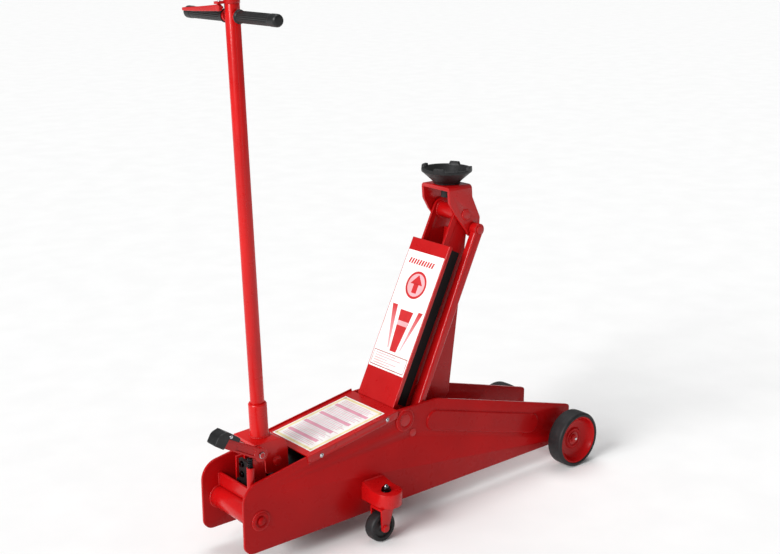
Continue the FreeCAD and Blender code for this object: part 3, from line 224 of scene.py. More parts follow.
def merged(shapes):
    """Several (points, faces) shapes as one."""
    starts = np.cumsum([0] + [len(points) for points, _ in shapes[:-1]])
    return (
        np.vstack([points for points, _ in shapes]),
        np.vstack([faces + start for (_, faces), start in zip(shapes, starts)]),
    )


# ---------------------------------------------------------------- finished pieces


def finish(thing, coat, body, stands_for=()):
    """Paint a piece, hang it on its body and hide the CAD nodes it stands for."""
    thing.data.materials.clear()
    thing.data.materials.append(coat)
    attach(thing, body)
    if stands_for:
        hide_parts(*stands_for)
    return thing


def piece(name, shapes, coat, body, stands_for=(), crease=38, ink=None):
    """A new piece from (points, faces) shapes in metres.

    Poles are merged, faces turned outwards, and edges over the crease angle kept sharp."""
    points, faces = merged(shapes)
    mesh = bpy.data.meshes.new(name)
    mesh.from_pydata(points.tolist(), [], faces.tolist())
    if ink is not None:
        layer = mesh.color_attributes.new("ink", "FLOAT_COLOR", "POINT")
        layer.data.foreach_set("color", np.column_stack((ink, np.ones(len(ink)))).astype(np.float32).ravel())
    build = bmesh.new()
    build.from_mesh(mesh)
    if ink is None:
        bmesh.ops.remove_doubles(build, verts=build.verts, dist=2e-6)
        bmesh.ops.dissolve_degenerate(build, edges=build.edges, dist=1e-6)
    bmesh.ops.recalc_face_normals(build, faces=build.faces)
    build.to_mesh(mesh)
    build.free()
    mesh.shade_smooth()
    mesh.set_sharp_from_angle(angle=math.radians(crease))
    thing = bpy.data.objects.new(name, mesh)
    bpy.context.scene.collection.objects.link(thing)
    return finish(thing, coat, body, stands_for)


def body_of(node):
    """The body that holds a CAD node."""
    return next(name for name, nodes in frame["record"]["behaviour"]["bodies"].items() if node in nodes)


def softened(node, coat, round_off, segments=2):
    """A CAD node's shape with its sharp edges rounded, as rolled and dressed steel has."""
    mesh = frame["nodes"][node].data.copy()
    mesh.name = f"{node}_soft"
    build = bmesh.new()
    build.from_mesh(mesh)
    bmesh.ops.remove_doubles(build, verts=build.verts, dist=5e-6)
    flat = math.radians(0.4)
    bmesh.ops.dissolve_limit(build, angle_limit=flat, verts=build.verts, edges=build.edges)
    build.to_mesh(mesh)
    build.free()
    mesh.shade_smooth()
    thing = bpy.data.objects.new(f"{node}_soft", mesh)
    bpy.context.scene.collection.objects.link(thing)
    bevel = thing.modifiers.new("Rounded edges", "BEVEL")
    bevel.width = round_off
    bevel.segments = segments
    bevel.limit_method = "ANGLE"
    bevel.angle_limit = math.radians(32)
    bevel.use_clamp_overlap = True
    bevel.harden_normals = True
    return finish(thing, coat, body_of(node), (node,))


# ---------------------------------------------------------------- materials


def linear(code):
    """A hex sRGB colour as linear red, green and blue."""
    value = np.array([int(code[i : i + 2], 16) for i in (1, 3, 5)]) / 255
    return np.where(value <= 0.04045, value / 12.92, ((value + 0.055) / 1.055) ** 2.4)


def colour(code):
    """A hex sRGB colour as a linear RGBA tuple."""
    return (*linear(code), 1.0)


def per(size):
    """Texture scale that gives a feature of this size in mm."""
    return 1000.0 / size


def add(tree, kind, inputs=None, **settings):
    """Adds a node: settings are its own properties, and inputs are values or the sockets that feed it."""
    node = tree.nodes.new(kind)
    for name, value in settings.items():
        setattr(node, name, value)
    for name, value in (inputs or {}).items():
        if isinstance(value, bpy.types.NodeSocket):
            tree.links.new(value, node.inputs[name])
        else:
            node.inputs[name].default_value = value
    return node


def started(name, **settings):
    """A new material: its tree, its shader with these socket values, and Object coordinates."""
    material = bpy.data.materials.get(name)
    if material:
        return material, None, None, None
    material = bpy.data.materials.new(name)
    material.use_nodes = True
    tree = material.node_tree
    shader = tree.nodes["Principled BSDF"]
    for socket, value in settings.items():
        shader.inputs[socket.replace("_", " ")].default_value = value
    place = add(tree, "ShaderNodeTexCoord").outputs["Object"]
    return material, tree, shader, place


def mottled(tree, place, size, low, high, detail=3.0, spread=(0.35, 0.65)):
    """A slow change between two colours over a feature size in mm."""
    noise = add(tree, "ShaderNodeTexNoise", {"Vector": place, "Scale": per(size), "Detail": detail})
    ramp = add(tree, "ShaderNodeValToRGB", {"Fac": noise.outputs["Fac"]})
    ramp.color_ramp.elements[0].position, ramp.color_ramp.elements[1].position = spread
    ramp.color_ramp.elements[0].color = low
    ramp.color_ramp.elements[1].color = high
    return ramp.outputs["Color"]


def bumped(tree, shader, height, depth, strength=1.0, before=None):
    """Feeds a bump of this depth in mm into the shader."""
    inputs = {"Height": height, "Distance": depth * MM, "Strength": strength}
    if before is not None:
        inputs["Normal"] = before
    bump = add(tree, "ShaderNodeBump", inputs)
    tree.links.new(bump.outputs["Normal"], shader.inputs["Normal"])
    return bump.outputs["Normal"]


def stoved_enamel(name, code, deep, sheen=0.25, coat=0.18):
    """Gloss alkyd enamel sprayed on sheet steel and stoved.

    Orange peel of 2.5 mm cells breaks up the highlights, and a slow change of depth and shine shows where the
    coat lies thicker."""
    material, tree, shader, place = started(
        name, Roughness=0.3, Coat_Weight=coat, Coat_Roughness=0.08, IOR=1.5, Specular_IOR_Level=sheen
    )
    if tree is None:
        return material
    tone = mottled(tree, place, 140, colour(deep), colour(code), 2.0, (0.3, 0.7))
    tree.links.new(tone, shader.inputs["Base Color"])
    shine = add(tree, "ShaderNodeTexNoise", {"Vector": place, "Scale": per(35), "Detail": 4.0})
    level = add(
        tree,
        "ShaderNodeMapRange",
        {"Value": shine.outputs["Fac"], "From Min": 0.3, "From Max": 0.7, "To Min": 0.24, "To Max": 0.38},
    )
    tree.links.new(level.outputs["Result"], shader.inputs["Roughness"])
    peel = add(tree, "ShaderNodeTexNoise", {"Vector": place, "Scale": per(2.5), "Detail": 1.0})
    sag = add(tree, "ShaderNodeTexNoise", {"Vector": place, "Scale": per(60), "Detail": 2.0})
    first = bumped(tree, shader, peel.outputs["Fac"], 0.05, 0.5)
    bumped(tree, shader, sag.outputs["Fac"], 1.2, 0.35, first)
    return material


def painted_casting(name, code, worn):
    """Sand-cast iron under one coat of black paint: 1.5 mm sand grain, with paler rubbed patches."""
    material, tree, shader, place = started(name, Roughness=0.5, Metallic=0.1)
    if tree is None:
        return material
    tone = mottled(tree, place, 22, colour(code), colour(worn), 6.0, (0.45, 0.78))
    tree.links.new(tone, shader.inputs["Base Color"])
    sand = {"Vector": place, "Scale": per(1.5), "Detail": 4.0, "Roughness": 0.65}
    grain = add(tree, "ShaderNodeTexNoise", sand)
    pits = add(tree, "ShaderNodeTexVoronoi", {"Vector": place, "Scale": per(6)})
    first = bumped(tree, shader, grain.outputs["Fac"], 0.25, 0.7)
    bumped(tree, shader, pits.outputs["Distance"], 0.3, 0.25, first)
    return material


def zinc_plate(name, code, dull):
    """Bright zinc plate on turned steel fasteners: a clear sheen, with a faint clouding of 8 mm patches."""
    material, tree, shader, place = started(name, Roughness=0.26, Metallic=1.0)
    if tree is None:
        return material
    tree.links.new(mottled(tree, place, 8, colour(dull), colour(code), 3.0), shader.inputs["Base Color"])
    lines = add(tree, "ShaderNodeTexNoise", {"Vector": place, "Scale": per(1.2), "Detail": 2.0})
    bumped(tree, shader, lines.outputs["Fac"], 0.02, 0.5)
    return material


def hard_chrome(name, code):
    """Ground and hard-chromed rod: near-mirror, with round grinding lines drawn at 1 mm so that they show."""
    material, tree, shader, place = started(name, Roughness=0.12, Metallic=1.0, Base_Color=colour(code))
    if tree is None:
        return material
    lines = add(tree, "ShaderNodeTexNoise", {"Vector": place, "Scale": per(1.0), "Detail": 1.0})
    bumped(tree, shader, lines.outputs["Fac"], 0.006, 0.5)
    return material


def moulded_rubber(name, code, grey, roughness):
    """Compression-moulded rubber: a dry black skin with a 0.8 mm tooth and a little pale bloom."""
    material, tree, shader, place = started(name, Roughness=roughness, Specular_IOR_Level=0.4)
    if tree is None:
        return material
    tone = mottled(tree, place, 18, colour(code), colour(grey), 5.0, (0.5, 0.85))
    tree.links.new(tone, shader.inputs["Base Color"])
    tooth = add(tree, "ShaderNodeTexNoise", {"Vector": place, "Scale": per(0.8), "Detail": 2.0})
    bumped(tree, shader, tooth.outputs["Fac"], 0.08, 0.5)
    return material


def printed_vinyl(name):
    """Screen-printed vinyl film under a clear laminate: flat solid inks, with a faint ripple."""
    material, tree, shader, place = started(name, Roughness=0.38, Coat_Weight=0.3, Coat_Roughness=0.15)
    if tree is None:
        return material
    ink = add(tree, "ShaderNodeAttribute", attribute_name="ink")
    grime = mottled(tree, place, 40, colour("#F1EEEA"), colour("#FFFFFF"), 4.0, (0.3, 0.55))
    mixed = add(tree, "ShaderNodeMix", {"Factor": 1.0}, data_type="RGBA", blend_type="MULTIPLY")
    tree.links.new(ink.outputs["Color"], mixed.inputs[6])
    tree.links.new(grime, mixed.inputs[7])
    tree.links.new(mixed.outputs[2], shader.inputs["Base Color"])
    ripple = add(tree, "ShaderNodeTexNoise", {"Vector": place, "Scale": per(25), "Detail": 1.0})
    bumped(tree, shader, ripple.outputs["Fac"], 0.3, 0.2)
    return material


def matt_floor(name, code):
    """Matt painted studio floor: pale, with a slight unevenness of tone over a hand's breadth."""
    material, tree, shader, place = started(name, Roughness=0.85)
    if tree is None:
        return material
    tone = mottled(tree, place, 180, colour(code), colour("#FCFCFB"), 2.0)
    tree.links.new(tone, shader.inputs["Base Color"])
    return material


def finishes(scene):
    """Every finish of the jack, by short name."""
    shades = scene.jack_colours
    return {
        "enamel": stoved_enamel("red_stoved_enamel", shades.enamel, shades.enamel_deep),
        # A darker copy of the red enamel: painted shade for the side plates and wheel discs.
        "chassis": stoved_enamel("red_enamel_darkened_as_painted_shade", shades.chassis, shades.chassis_painted_shade_deep, 0.1, 0.06),
        # A lighter copy of the red enamel: painted light for the handle, sleeve, yoke and yoke bolt.
        "handle": stoved_enamel("red_enamel_lightened_as_painted_light", shades.handle, shades.enamel),
        "casting": painted_casting("black_painted_casting", shades.casting, "#1E1D1E"),
        "saddle": painted_casting("black_oxide_saddle_casting", shades.saddle, "#1D1D1F"),
        "zinc": zinc_plate("bright_zinc_plate", shades.zinc, "#A7A9AD"),
        "chrome": hard_chrome("hard_chromed_rod", "#D4D6D9"),
        "spring": hard_chrome("oiled_spring_wire", "#77787C"),
        "dark": hard_chrome("blackened_bolt_steel", "#2A2A2D"),
        # Black painted shade for the shaded sides of the arm, given a rubber shader; there is no liner on the
        # real arm.
        "painted_shade": moulded_rubber("black_painted_shade", "#0B0B0C", "#141415", 0.8),
        "grip": moulded_rubber("moulded_grip_rubber", shades.rubber, "#232324", 0.42),
        "tyre": moulded_rubber("solid_tyre_rubber", shades.tyre, "#262527", 0.55),
        "vinyl": printed_vinyl("printed_label_vinyl"),
    }


# ---------------------------------------------------------------- settings


class JackColours(bpy.types.PropertyGroup):
    """Paints and rubbers, held as sRGB hex codes."""

    enamel: bpy.props.StringProperty(name="Enamel", description="Gloss enamel", default="#BF0D0F")
    enamel_deep: bpy.props.StringProperty(
        name="Deep enamel", description="Gloss enamel where it lies thick", default="#B20A0D"
    )
    # Chassis enamel is the red enamel painted darker, as painted shade on the side plates and wheel discs.
    chassis: bpy.props.StringProperty(
        name="Chassis enamel", description="Enamel on the plates and wheels", default="#B40C0F"
    )
    chassis_painted_shade_deep: bpy.props.StringProperty(
        name="Deep chassis enamel", description="Chassis enamel where it lies thick", default="#A60A0D"
    )
    # Handle enamel is the red enamel painted lighter, as painted light on the handle, sleeve and yoke.
    handle: bpy.props.StringProperty(
        name="Handle enamel", description="Enamel on the handle and yoke", default="#CE0F0E"
    )
    casting: bpy.props.StringProperty(name="Casting", description="Paint on castings", default="#141314")
    saddle: bpy.props.StringProperty(name="Saddle", description="Saddle casting", default="#0C0C0D")
    zinc: bpy.props.StringProperty(name="Zinc", description="Plated fasteners", default="#D5D6D8")
    rubber: bpy.props.StringProperty(
        name="Grip rubber", description="Grips and pedal pad", default="#101011"
    )
    tyre: bpy.props.StringProperty(name="Tyre rubber", description="Tyres", default="#141315")
    floor: bpy.props.StringProperty(name="Floor", description="Studio floor", default="#F9F9F8")


class JackSizes(bpy.types.PropertyGroup):
    """Small sizes that the CAD leaves to the finishing."""

    plate_round: bpy.props.FloatProperty(
        name="Plate edges", description="Round on cut plate edges", default=0.0014, unit="LENGTH"
    )
    sheet_round: bpy.props.FloatProperty(
        name="Sheet edges", description="Round on thin sheet edges", default=0.0006, unit="LENGTH"
    )
    casting_round: bpy.props.FloatProperty(
        name="Casting edges", description="Round on casting edges", default=0.0025, unit="LENGTH"
    )
    weld: bpy.props.FloatProperty(
        name="Weld", description="Half width of a weld seam", default=0.0028, unit="LENGTH"
    )
    ripple: bpy.props.FloatProperty(
        name="Weld ripple", description="Pitch of a weld's ripples", default=0.0045, unit="LENGTH"
    )
    grip_flutes: bpy.props.IntProperty(
        name="Grip flutes", description="Flutes round a grip", default=20, min=4
    )
    cover_slope: bpy.props.FloatProperty(
        name="Cover slope", description="Rise of the pump cover", default=math.radians(9.25), subtype="ANGLE"
    )
    pedal_rise: bpy.props.FloatProperty(
        name="Pedal rise", description="Pedal arm above level", default=math.radians(30), subtype="ANGLE"
    )
    camera_place: bpy.props.FloatVectorProperty(
        name="Camera", description="Camera's place", default=(-2.2533, -2.6522, 1.6642), subtype="TRANSLATION"
    )
    camera_heading: bpy.props.FloatProperty(
        name="Heading", description="View, from +X towards +Y", default=math.radians(49.93), subtype="ANGLE"
    )
    camera_dip: bpy.props.FloatProperty(
        name="Dip", description="View direction below level", default=math.radians(15.73), subtype="ANGLE"
    )
    camera_lens: bpy.props.FloatProperty(
        name="Lens", description="Focal length on a 36 mm frame, mm", default=59.0
    )


# ---------------------------------------------------------------- operators


class JackStage(bpy.types.Operator):
    """Pale floor, soft studio light and the camera"""

    bl_idname = "jack.stage"
    bl_label = "Stage"

    def execute(self, context):
        scene = context.scene
        sizes = scene.jack_sizes
        far, depth = 60.0, -0.0005
        corners = [(-far, -far, depth), (far, -far, depth), (far, far, depth), (-far, far, depth)]
        mesh = bpy.data.meshes.new("floor")
        mesh.from_pydata(corners, [], [(0, 1, 2, 3)])
        floor = bpy.data.objects.new("floor", mesh)
        mesh.materials.append(matt_floor("matt_studio_floor", scene.jack_colours.floor))
        scene.collection.objects.link(floor)

        world = bpy.data.worlds.new("studio")
        world.use_nodes = True
        sky = world.node_tree.nodes["Background"]
        sky.inputs["Color"].default_value = colour("#FBFCFF")
        sky.inputs["Strength"].default_value = 0.29
        scene.world = world
        lamps = (
            ("key", (-4.0, -0.35, 2.2), 3.0, 30.0),
            ("top", (0.4, 0.8, 3.0), 1.0, 40.0),
        )
        for name, place, strength, spread in lamps:
            light = bpy.data.lights.new(name, "SUN")
            light.energy = strength
            light.angle = math.radians(spread)
            lamp = bpy.data.objects.new(name, light)
            lamp.rotation_euler = Vector(place).to_track_quat("Z", "Y").to_euler()
            scene.collection.objects.link(lamp)

        lens = bpy.data.cameras.new("camera")
        lens.lens = sizes.camera_lens
        lens.sensor_width = 36.0
        lens.clip_start, lens.clip_end = 0.05, 300.0
        camera = bpy.data.objects.new("camera", lens)
        turn = Matrix.Rotation(sizes.camera_heading - math.pi / 2, 4, "Z")
        tip = Matrix.Rotation(math.pi / 2 - sizes.camera_dip, 4, "X")
        camera.matrix_world = Matrix.Translation(sizes.camera_place) @ turn @ tip
        scene.collection.objects.link(camera)
        scene.camera = camera
        scene.view_settings.view_transform = "Standard"
        return {"FINISHED"}


class JackSteelwork(bpy.types.Operator):
    """Chassis, arm, tie bars, bracket and yoke with rounded edges and enamel, and black strips of painted
    shade on the arm's sides
    """

    bl_idname = "jack.steelwork"
    bl_label = "Steelwork"

    def execute(self, context):
        sizes = context.scene.jack_sizes
        coats = finishes(context.scene)
        large_plates = (
            "side_plate_right", "side_plate_left", "arm_plate_right", "arm_plate_left", "side_bosses",
        )
        plates = (
            "rear_cross_plate", "tie_bar_right", "tie_bar_left", "saddle_bracket", "caster_brackets",
            "caster_fork_left", "caster_fork_right", "pedal_arm", "pedal_bracket", "pump_side_plate",
            "handle_cap", "arm_web", "ram_fork",
        )
        tubes = (
            "top_cover", "arm_guard", "rear_cross_tube", "front_tie_rod", "arm_pivot_shaft", "arm_pivot_tube",
            "arm_head_tube", "tie_lower_pins", "cross_bar", "head_pin", "tie_upper_pins", "foot_pump_barrel",
            "front_stub_axles",
        )
        plated = ("crank_pin", "cylinder_gland", "pump_roller", "sleeve_screw", "release_rod")
        groups = (
            # The large plates take the darker enamel, as painted shade.
            (large_plates, "chassis", sizes.plate_round),
            # The yoke takes the lighter enamel, as painted light.
            (("yoke",), "handle", sizes.plate_round),
            (plates, "enamel", sizes.plate_round),
            (tubes, "enamel", sizes.sheet_round),
            # The handle, sleeve and yoke bolt take the lighter enamel, as painted light.
            (("handle_sleeve", "handle_tube", "yoke_bolt"), "handle", sizes.sheet_round),
            (("reservoir_tube", "cylinder_barrel"), "casting", sizes.sheet_round),
            (plated, "zinc", sizes.sheet_round),
            (("ram_rod", "hand_plunger"), "chrome", sizes.sheet_round),
            (("foot_plunger",), "dark", sizes.sheet_round),
        )
        for nodes, coat, round_off in groups:
            for node in nodes:
                softened(node, coats[coat], round_off)
        softened("pump_block", coats["casting"], sizes.casting_round, 3)
        # Black strips of painted shade on the arm's shaded sides.
        self.painted_shade_strips(coats["painted_shade"])
        return {"FINISHED"}

    def painted_shade_strips(self, coat):
        """A thin black strip of painted shade outside each arm plate, standing for the shade that falls
        there: x along the arm, y to its back, z to the jack's left.
        """
        plate, gauge = 48.02, 0.9
        low, high, front, back = 32.0, 500.0, -37.0, 33.0
        place = (ARM_FOOT, np.column_stack((ARM_LINE, ARM_BACK, Y)))
        outline = (((low, front), (high, front), (high, back), (low, back)),)
        strips = []
        for side in (1, -1):
            points, faces = slips(outline, side * plate, side * (plate + gauge))
            strips.append((put(points, place), faces))
        piece("arm_side_painted_shade", strips, coat, "lift_arm", crease=30)


class JackFrontWheels(bpy.types.Operator):
    """Dished steel wheels with solid rubber tyres and a nut on each stub axle"""

    bl_idname = "jack.front_wheels"
    bl_label = "Front wheels"

    def execute(self, context):
        coats = finishes(context.scene)
        for side, away, body in (("left", 1, "front_wheel_l"), ("right", -1, "front_wheel_r")):
            low, high = extent(f"front_tyre_{side}")
            middle = pivot(f"front_{side}_spin")
            inner = min(abs(low[1]), abs(high[1]))
            radius = middle[2]
            wide = high[1] - low[1]
            place = stand((middle[0], away * inner, middle[2]), Y * away, X)
            rim = radius - 12
            tyre = eased(
                (
                    (rim, 2), (rim + 2, 0.3), (radius - 6, 0), (radius - 0.6, 5), (radius, wide / 2),
                    (radius - 0.6, wide - 5), (radius - 6, wide), (rim + 2.5, wide - 0.3), (rim, wide - 2),
                ),
                (1, 1.5, 3, 4, 8, 4, 3, 1.5, 1), closed=True,
            )
            piece(
                f"front_tyre_{side}_rubber", [turned(tyre, place, 144, closed=True)], coats["tyre"], body,
                (f"front_tyre_{side}",),
            )
            face = wide - 22
            disc = eased(
                (
                    (rim, 3), (rim, wide - 3), (rim - 2.5, wide - 1.5), (rim - 5, wide - 3),
                    (rim - 9, wide - 11), (rim - 17, face - 1), (34, face - 5), (31, face - 0.5),
                    (26, face), (23, face - 3), (15, face - 3), (14.1, face - 4), (14.1, 0), (26, 0),
                    (27, 12), (rim - 10, 18), (rim - 8, 3),
                ),
                (1, 1.5, 1.5, 3, 6, 7, 3, 2, 2, 1.5, 0.8, 0.8, 0.8, 1, 5, 5, 1), closed=True,
            )
            # The disc takes the darker enamel, as painted shade.
            piece(
                f"front_wheel_{side}_disc", [turned(disc, place, 144, closed=True)], coats["chassis"], body,
                (f"front_wheel_{side}",),
            )
            nut = ((0, face + 1), (12.7, face + 1), (12.7, face + 6), (10.5, face + 7.5), (0, face + 7.5))
            washer = ((0, face - 3.5), (19, face - 3.5), (19, face - 1), (18, face - 0.5), (0, face - 0.5))
            shapes = [
                turned(eased(nut, 0.4), place, 48, hexagon(22)), turned(eased(washer, 0.5), place, 48),
            ]
            piece(f"front_axle_nut_{side}", shapes, coats["enamel"], "chassis", crease=25)
            tip = ((0, face + 7), (4.6, face + 7), (4.6, face + 9.4), (3, face + 11), (0, face + 11.4))
            piece(f"front_axle_nipple_{side}", [turned(eased(tip, 0.6), place, 32)], coats["zinc"], "chassis")
        return {"FINISHED"}


class JackCasters(bpy.types.Operator):
    """Caster wheels with moulded tyres and ribbed hubs, acorn nuts and axle bolts"""

    bl_idname = "jack.casters"
    bl_label = "Casters"

    def execute(self, context):
        coats = finishes(context.scene)
        nuts, domes = [], []
        for side, away, fork, roller in (("left", 1, "caster_l", "caster_roller_l"),
                                         ("right", -1, "caster_r", "caster_roller_r")):
            axle = pivot(f"caster_{side}_spin")
            king = pivot(f"caster_{side}_swivel")
            low, high = extent(f"caster_wheel_{side}")
            half = (high[1] - low[1]) / 2
            radius = axle[2]
            place = stand(axle, Y * away, X)
            tyre = eased(
                (
                    (radius - 13, -half + 1.5), (radius - 6, -half), (radius - 2, -half + 2),
                    (radius, -half + 8), (radius, half - 8), (radius - 2, half - 2), (radius - 6, half),
                    (radius - 13, half - 1.5),
                ),
                (1, 2, 3, 5, 5, 3, 2, 1), closed=True,
            )
            piece(
                f"caster_tyre_{side}", [turned(tyre, place, 96, closed=True)], coats["tyre"], roller,
                (f"caster_wheel_{side}",),
            )
            hub = eased(
                (
                    (6.1, -half), (12.5, -half), (14, -half + 5), (radius - 15, -half + 7),
                    (radius - 13, -half + 2.5), (radius - 12.8, 0), (radius - 13, half - 2.5),
                    (radius - 15, half - 7), (14, half - 5), (12.5, half), (6.1, half),
                ),
                (0.5, 1, 2, 2, 0.8, 1, 0.8, 2, 2, 1, 0.5), closed=True,
            )
            piece(f"caster_hub_{side}", [turned(hub, place, 96, closed=True)], coats["casting"], roller)
            reach = half + 7
            bolts = []
            for end in (1, -1):
                seat = stand(axle + Y * end * reach, Y * end, X)
                outline = ((0, -0.5), (10.6, -0.5), (10.6, 4), (8.8, 5.2), (0, 5.2))
                bolts.append(turned(eased(outline, 0.4), seat, 48, hexagon(18)))
            piece(f"caster_axle_bolt_{side}", bolts, coats["enamel"], fork, crease=25)
            top = extent("caster_brackets")[0][2] + 40
            seat = stand((king[0], king[1], top), Z, X)
            pin = eased(
                (
                    (0, -53), (13, -53), (13, -50), (8.9, -49.8), (8.9, -1), (14, 0), (14, 2.6), (12.7, 2.8),
                    (12.7, 9.5), (10, 11), (0, 11.4),
                ),
                (0.5, 0.8, 0.8, 0.3, 0.5, 0.6, 0.4, 0.2, 0.8, 0.6, 1),
            )
            nuts.append(turned(pin, seat, 72, self.king_nut))
            dome = eased(((0, 10), (7, 10), (7, 13), (4.5, 18.3), (0, 19.8)), (0.5, 0.6, 1.5, 3, 2.4))
            domes.append(turned(dome, seat, 48))
        pins = ("caster_king_pins",)
        piece("caster_king_nuts", nuts, coats["dark"], "chassis", pins, crease=25)
        piece("caster_king_domes", domes, coats["spring"], "chassis")
        return {"FINISHED"}

    @staticmethod
    def king_nut(r, a, h):
        """Flats from 2.7 to 11.5 mm above the bracket, with the round washer and pin below."""
        return np.where((h > 2.7) & (h < 11.5), hexagon(22)(r, a, h), r)


class JackSaddle(bpy.types.Operator):
    """Cast saddle: a dished cup on a stem with four lugs standing from its rim"""

    bl_idname = "jack.saddle"
    bl_label = "Saddle"

    def execute(self, context):
        coats = finishes(context.scene)
        centre = pivot("saddle_swivel")
        place = stand(centre, Z, X)
        corners = (
            (0, -40), (14.5, -40), (16, -38.5), (16, 0.2), (38, 0.2), (38.5, 5), (50, 16), (69, 33),
            (73, 36), (73, 44), (64, 44), (61, 40), (49, 25), (33, 12.5), (28, 12), (27, 14), (23, 14),
            (22, 12), (14, 12), (13, 11), (0, 11),
        )
        cuts = (0.5, 1, 1, 0.5, 1, 2, 4, 4, 2, 1.6, 1.6, 2, 5, 3, 1, 0.7, 0.7, 1, 1, 1, 1)
        steps = 6
        outline = eased(corners, cuts, steps=steps)
        owner = np.r_[0, 1 + np.arange(len(outline) - 2) // steps, len(corners) - 1]
        rim = np.isin(owner, (9, 10)).astype(float)
        start = math.radians(28)

        def lugs(row, a):
            """Lug height: 8 mm over 28 degrees at each quarter turn, with flanks of 3 degrees."""
            off = np.abs((a - start + np.pi / 4) % (np.pi / 2) - np.pi / 4)
            return rim[row] * 8 * np.clip((math.radians(14) - off) / math.radians(3), 0, 1)

        cup = turned(outline, place, 360, lift=lugs)
        piece("saddle_casting", [cup], coats["saddle"], "saddle_cup", ("saddle",), crease=32)
        return {"FINISHED"}


class JackHandle(bpy.types.Operator):
    """Rubber grips, release lever and the small fastenings of the handle"""

    bl_idname = "jack.handle"
    bl_label = "Handle"

    def execute(self, context):
        coats = finishes(context.scene)
        flutes = context.scene.jack_sizes.grip_flutes
        origin, turn = HANDLE
        low, high = extent("grips")
        bar = np.array(((low[0] + high[0]) / 2, 0, (low[2] + high[2]) / 2))
        shapes = []
        for away, reach in ((1, high[1]), (-1, -low[1])):
            start = 28
            outline = eased(
                (
                    (11.1, start), (17.5, start), (17.5, start + 4.5), (14.6, start + 7), (14.6, reach - 30),
                    (15.6, reach - 28), (15.6, reach - 6), (12, reach), (0, reach),
                ),
                (0.5, 1.2, 1.5, 2, 1, 1, 3, 3, 1),
            )
            gap = outline[np.abs(outline[:, 0] - 14.6) < 0.01]
            lines = np.linspace(gap[:, 1].min(), gap[:, 1].max(), 60)
            keep_low = outline[outline[:, 1] <= gap[:, 1].min()]
            keep_high = outline[outline[:, 1] >= gap[:, 1].max()]
            outline = np.vstack((keep_low, np.column_stack((np.full(60, 14.6), lines)), keep_high))

            def fluted(r, a, h, start=start, reach=reach):
                """Flutes: 0.45 mm waves round the grip that fade out at each end of its middle."""
                fade = np.clip((h - start - 9) / 4, 0, 1) * np.clip((reach - 34 - h) / 4, 0, 1)
                return r + 0.45 * fade * np.cos(flutes * a)

            shapes.append(turned(outline, stand(bar, Y * away, X), 240, fluted))
        piece("grip_pair", shapes, coats["grip"], "handle", ("grips",))

        low, high = extent("release_lever")
        s = np.linspace(0, 1, 48)
        hinge = pivot("release_squeeze")
        tilt = HANDLE_LINE[0] / HANDLE_LINE[2]
        rise = hinge[2] + 0.5 - 12 * s - 4 * s * (1 - s)
        reach = hinge[1] - 4 + (high[1] - hinge[1] + 1) * s
        path = np.column_stack((hinge[0] + tilt * (rise - hinge[2]), reach, rise))
        ends = np.sqrt(np.clip(1 - np.clip((s - 0.96) / 0.04, 0, 1) ** 2, 0.02, 1))
        outline = eased(((-1, -1), (1, -1), (1, 1), (-1, 1)), 0.5, closed=True)
        points, faces = carried(outline, path, Z, wide=4 * ends, tall=(8 - 4 * s) * ends)
        eye = turned(eased(((0, -5), (8.4, -5), (8.4, 5), (0, 5)), 1), stand(hinge, HANDLE_FRONT, Y), 48)
        stalk = carried(circle(3), hinge + np.outer(np.linspace(0, 11, 6), HANDLE_FRONT), Z)
        piece(
            "release_lever_bar", [(points * MM, faces), eye, (stalk[0] * MM, stalk[1])], coats["enamel"],
            "release_trigger", ("release_lever",),
        )

        cap_low, cap_high = extent("handle_cap")
        seat = (cap_low[0] + 10, 10, cap_high[2] - 9.5)
        rivet = eased(((0, 0), (4.2, 0), (4.2, 2), (3, 4), (0, 4.6)), (0.3, 0.4, 1, 1, 1))
        knob = eased(((0, -2), (5.5, -2), (5.5, 3), (4, 4.5), (0, 4.5)), 0.6)
        top = np.array((np.mean([cap_low[0] + 40, cap_high[0]]) - 1.6, 0, cap_high[2] - 6))
        piece(
            "handle_cap_rivets",
            [turned(rivet, stand(seat, HANDLE_LINE, X), 32), turned(knob, stand(top, HANDLE_LINE, X), 36)],
            coats["zinc"], "handle",
        )
        return {"FINISHED"}


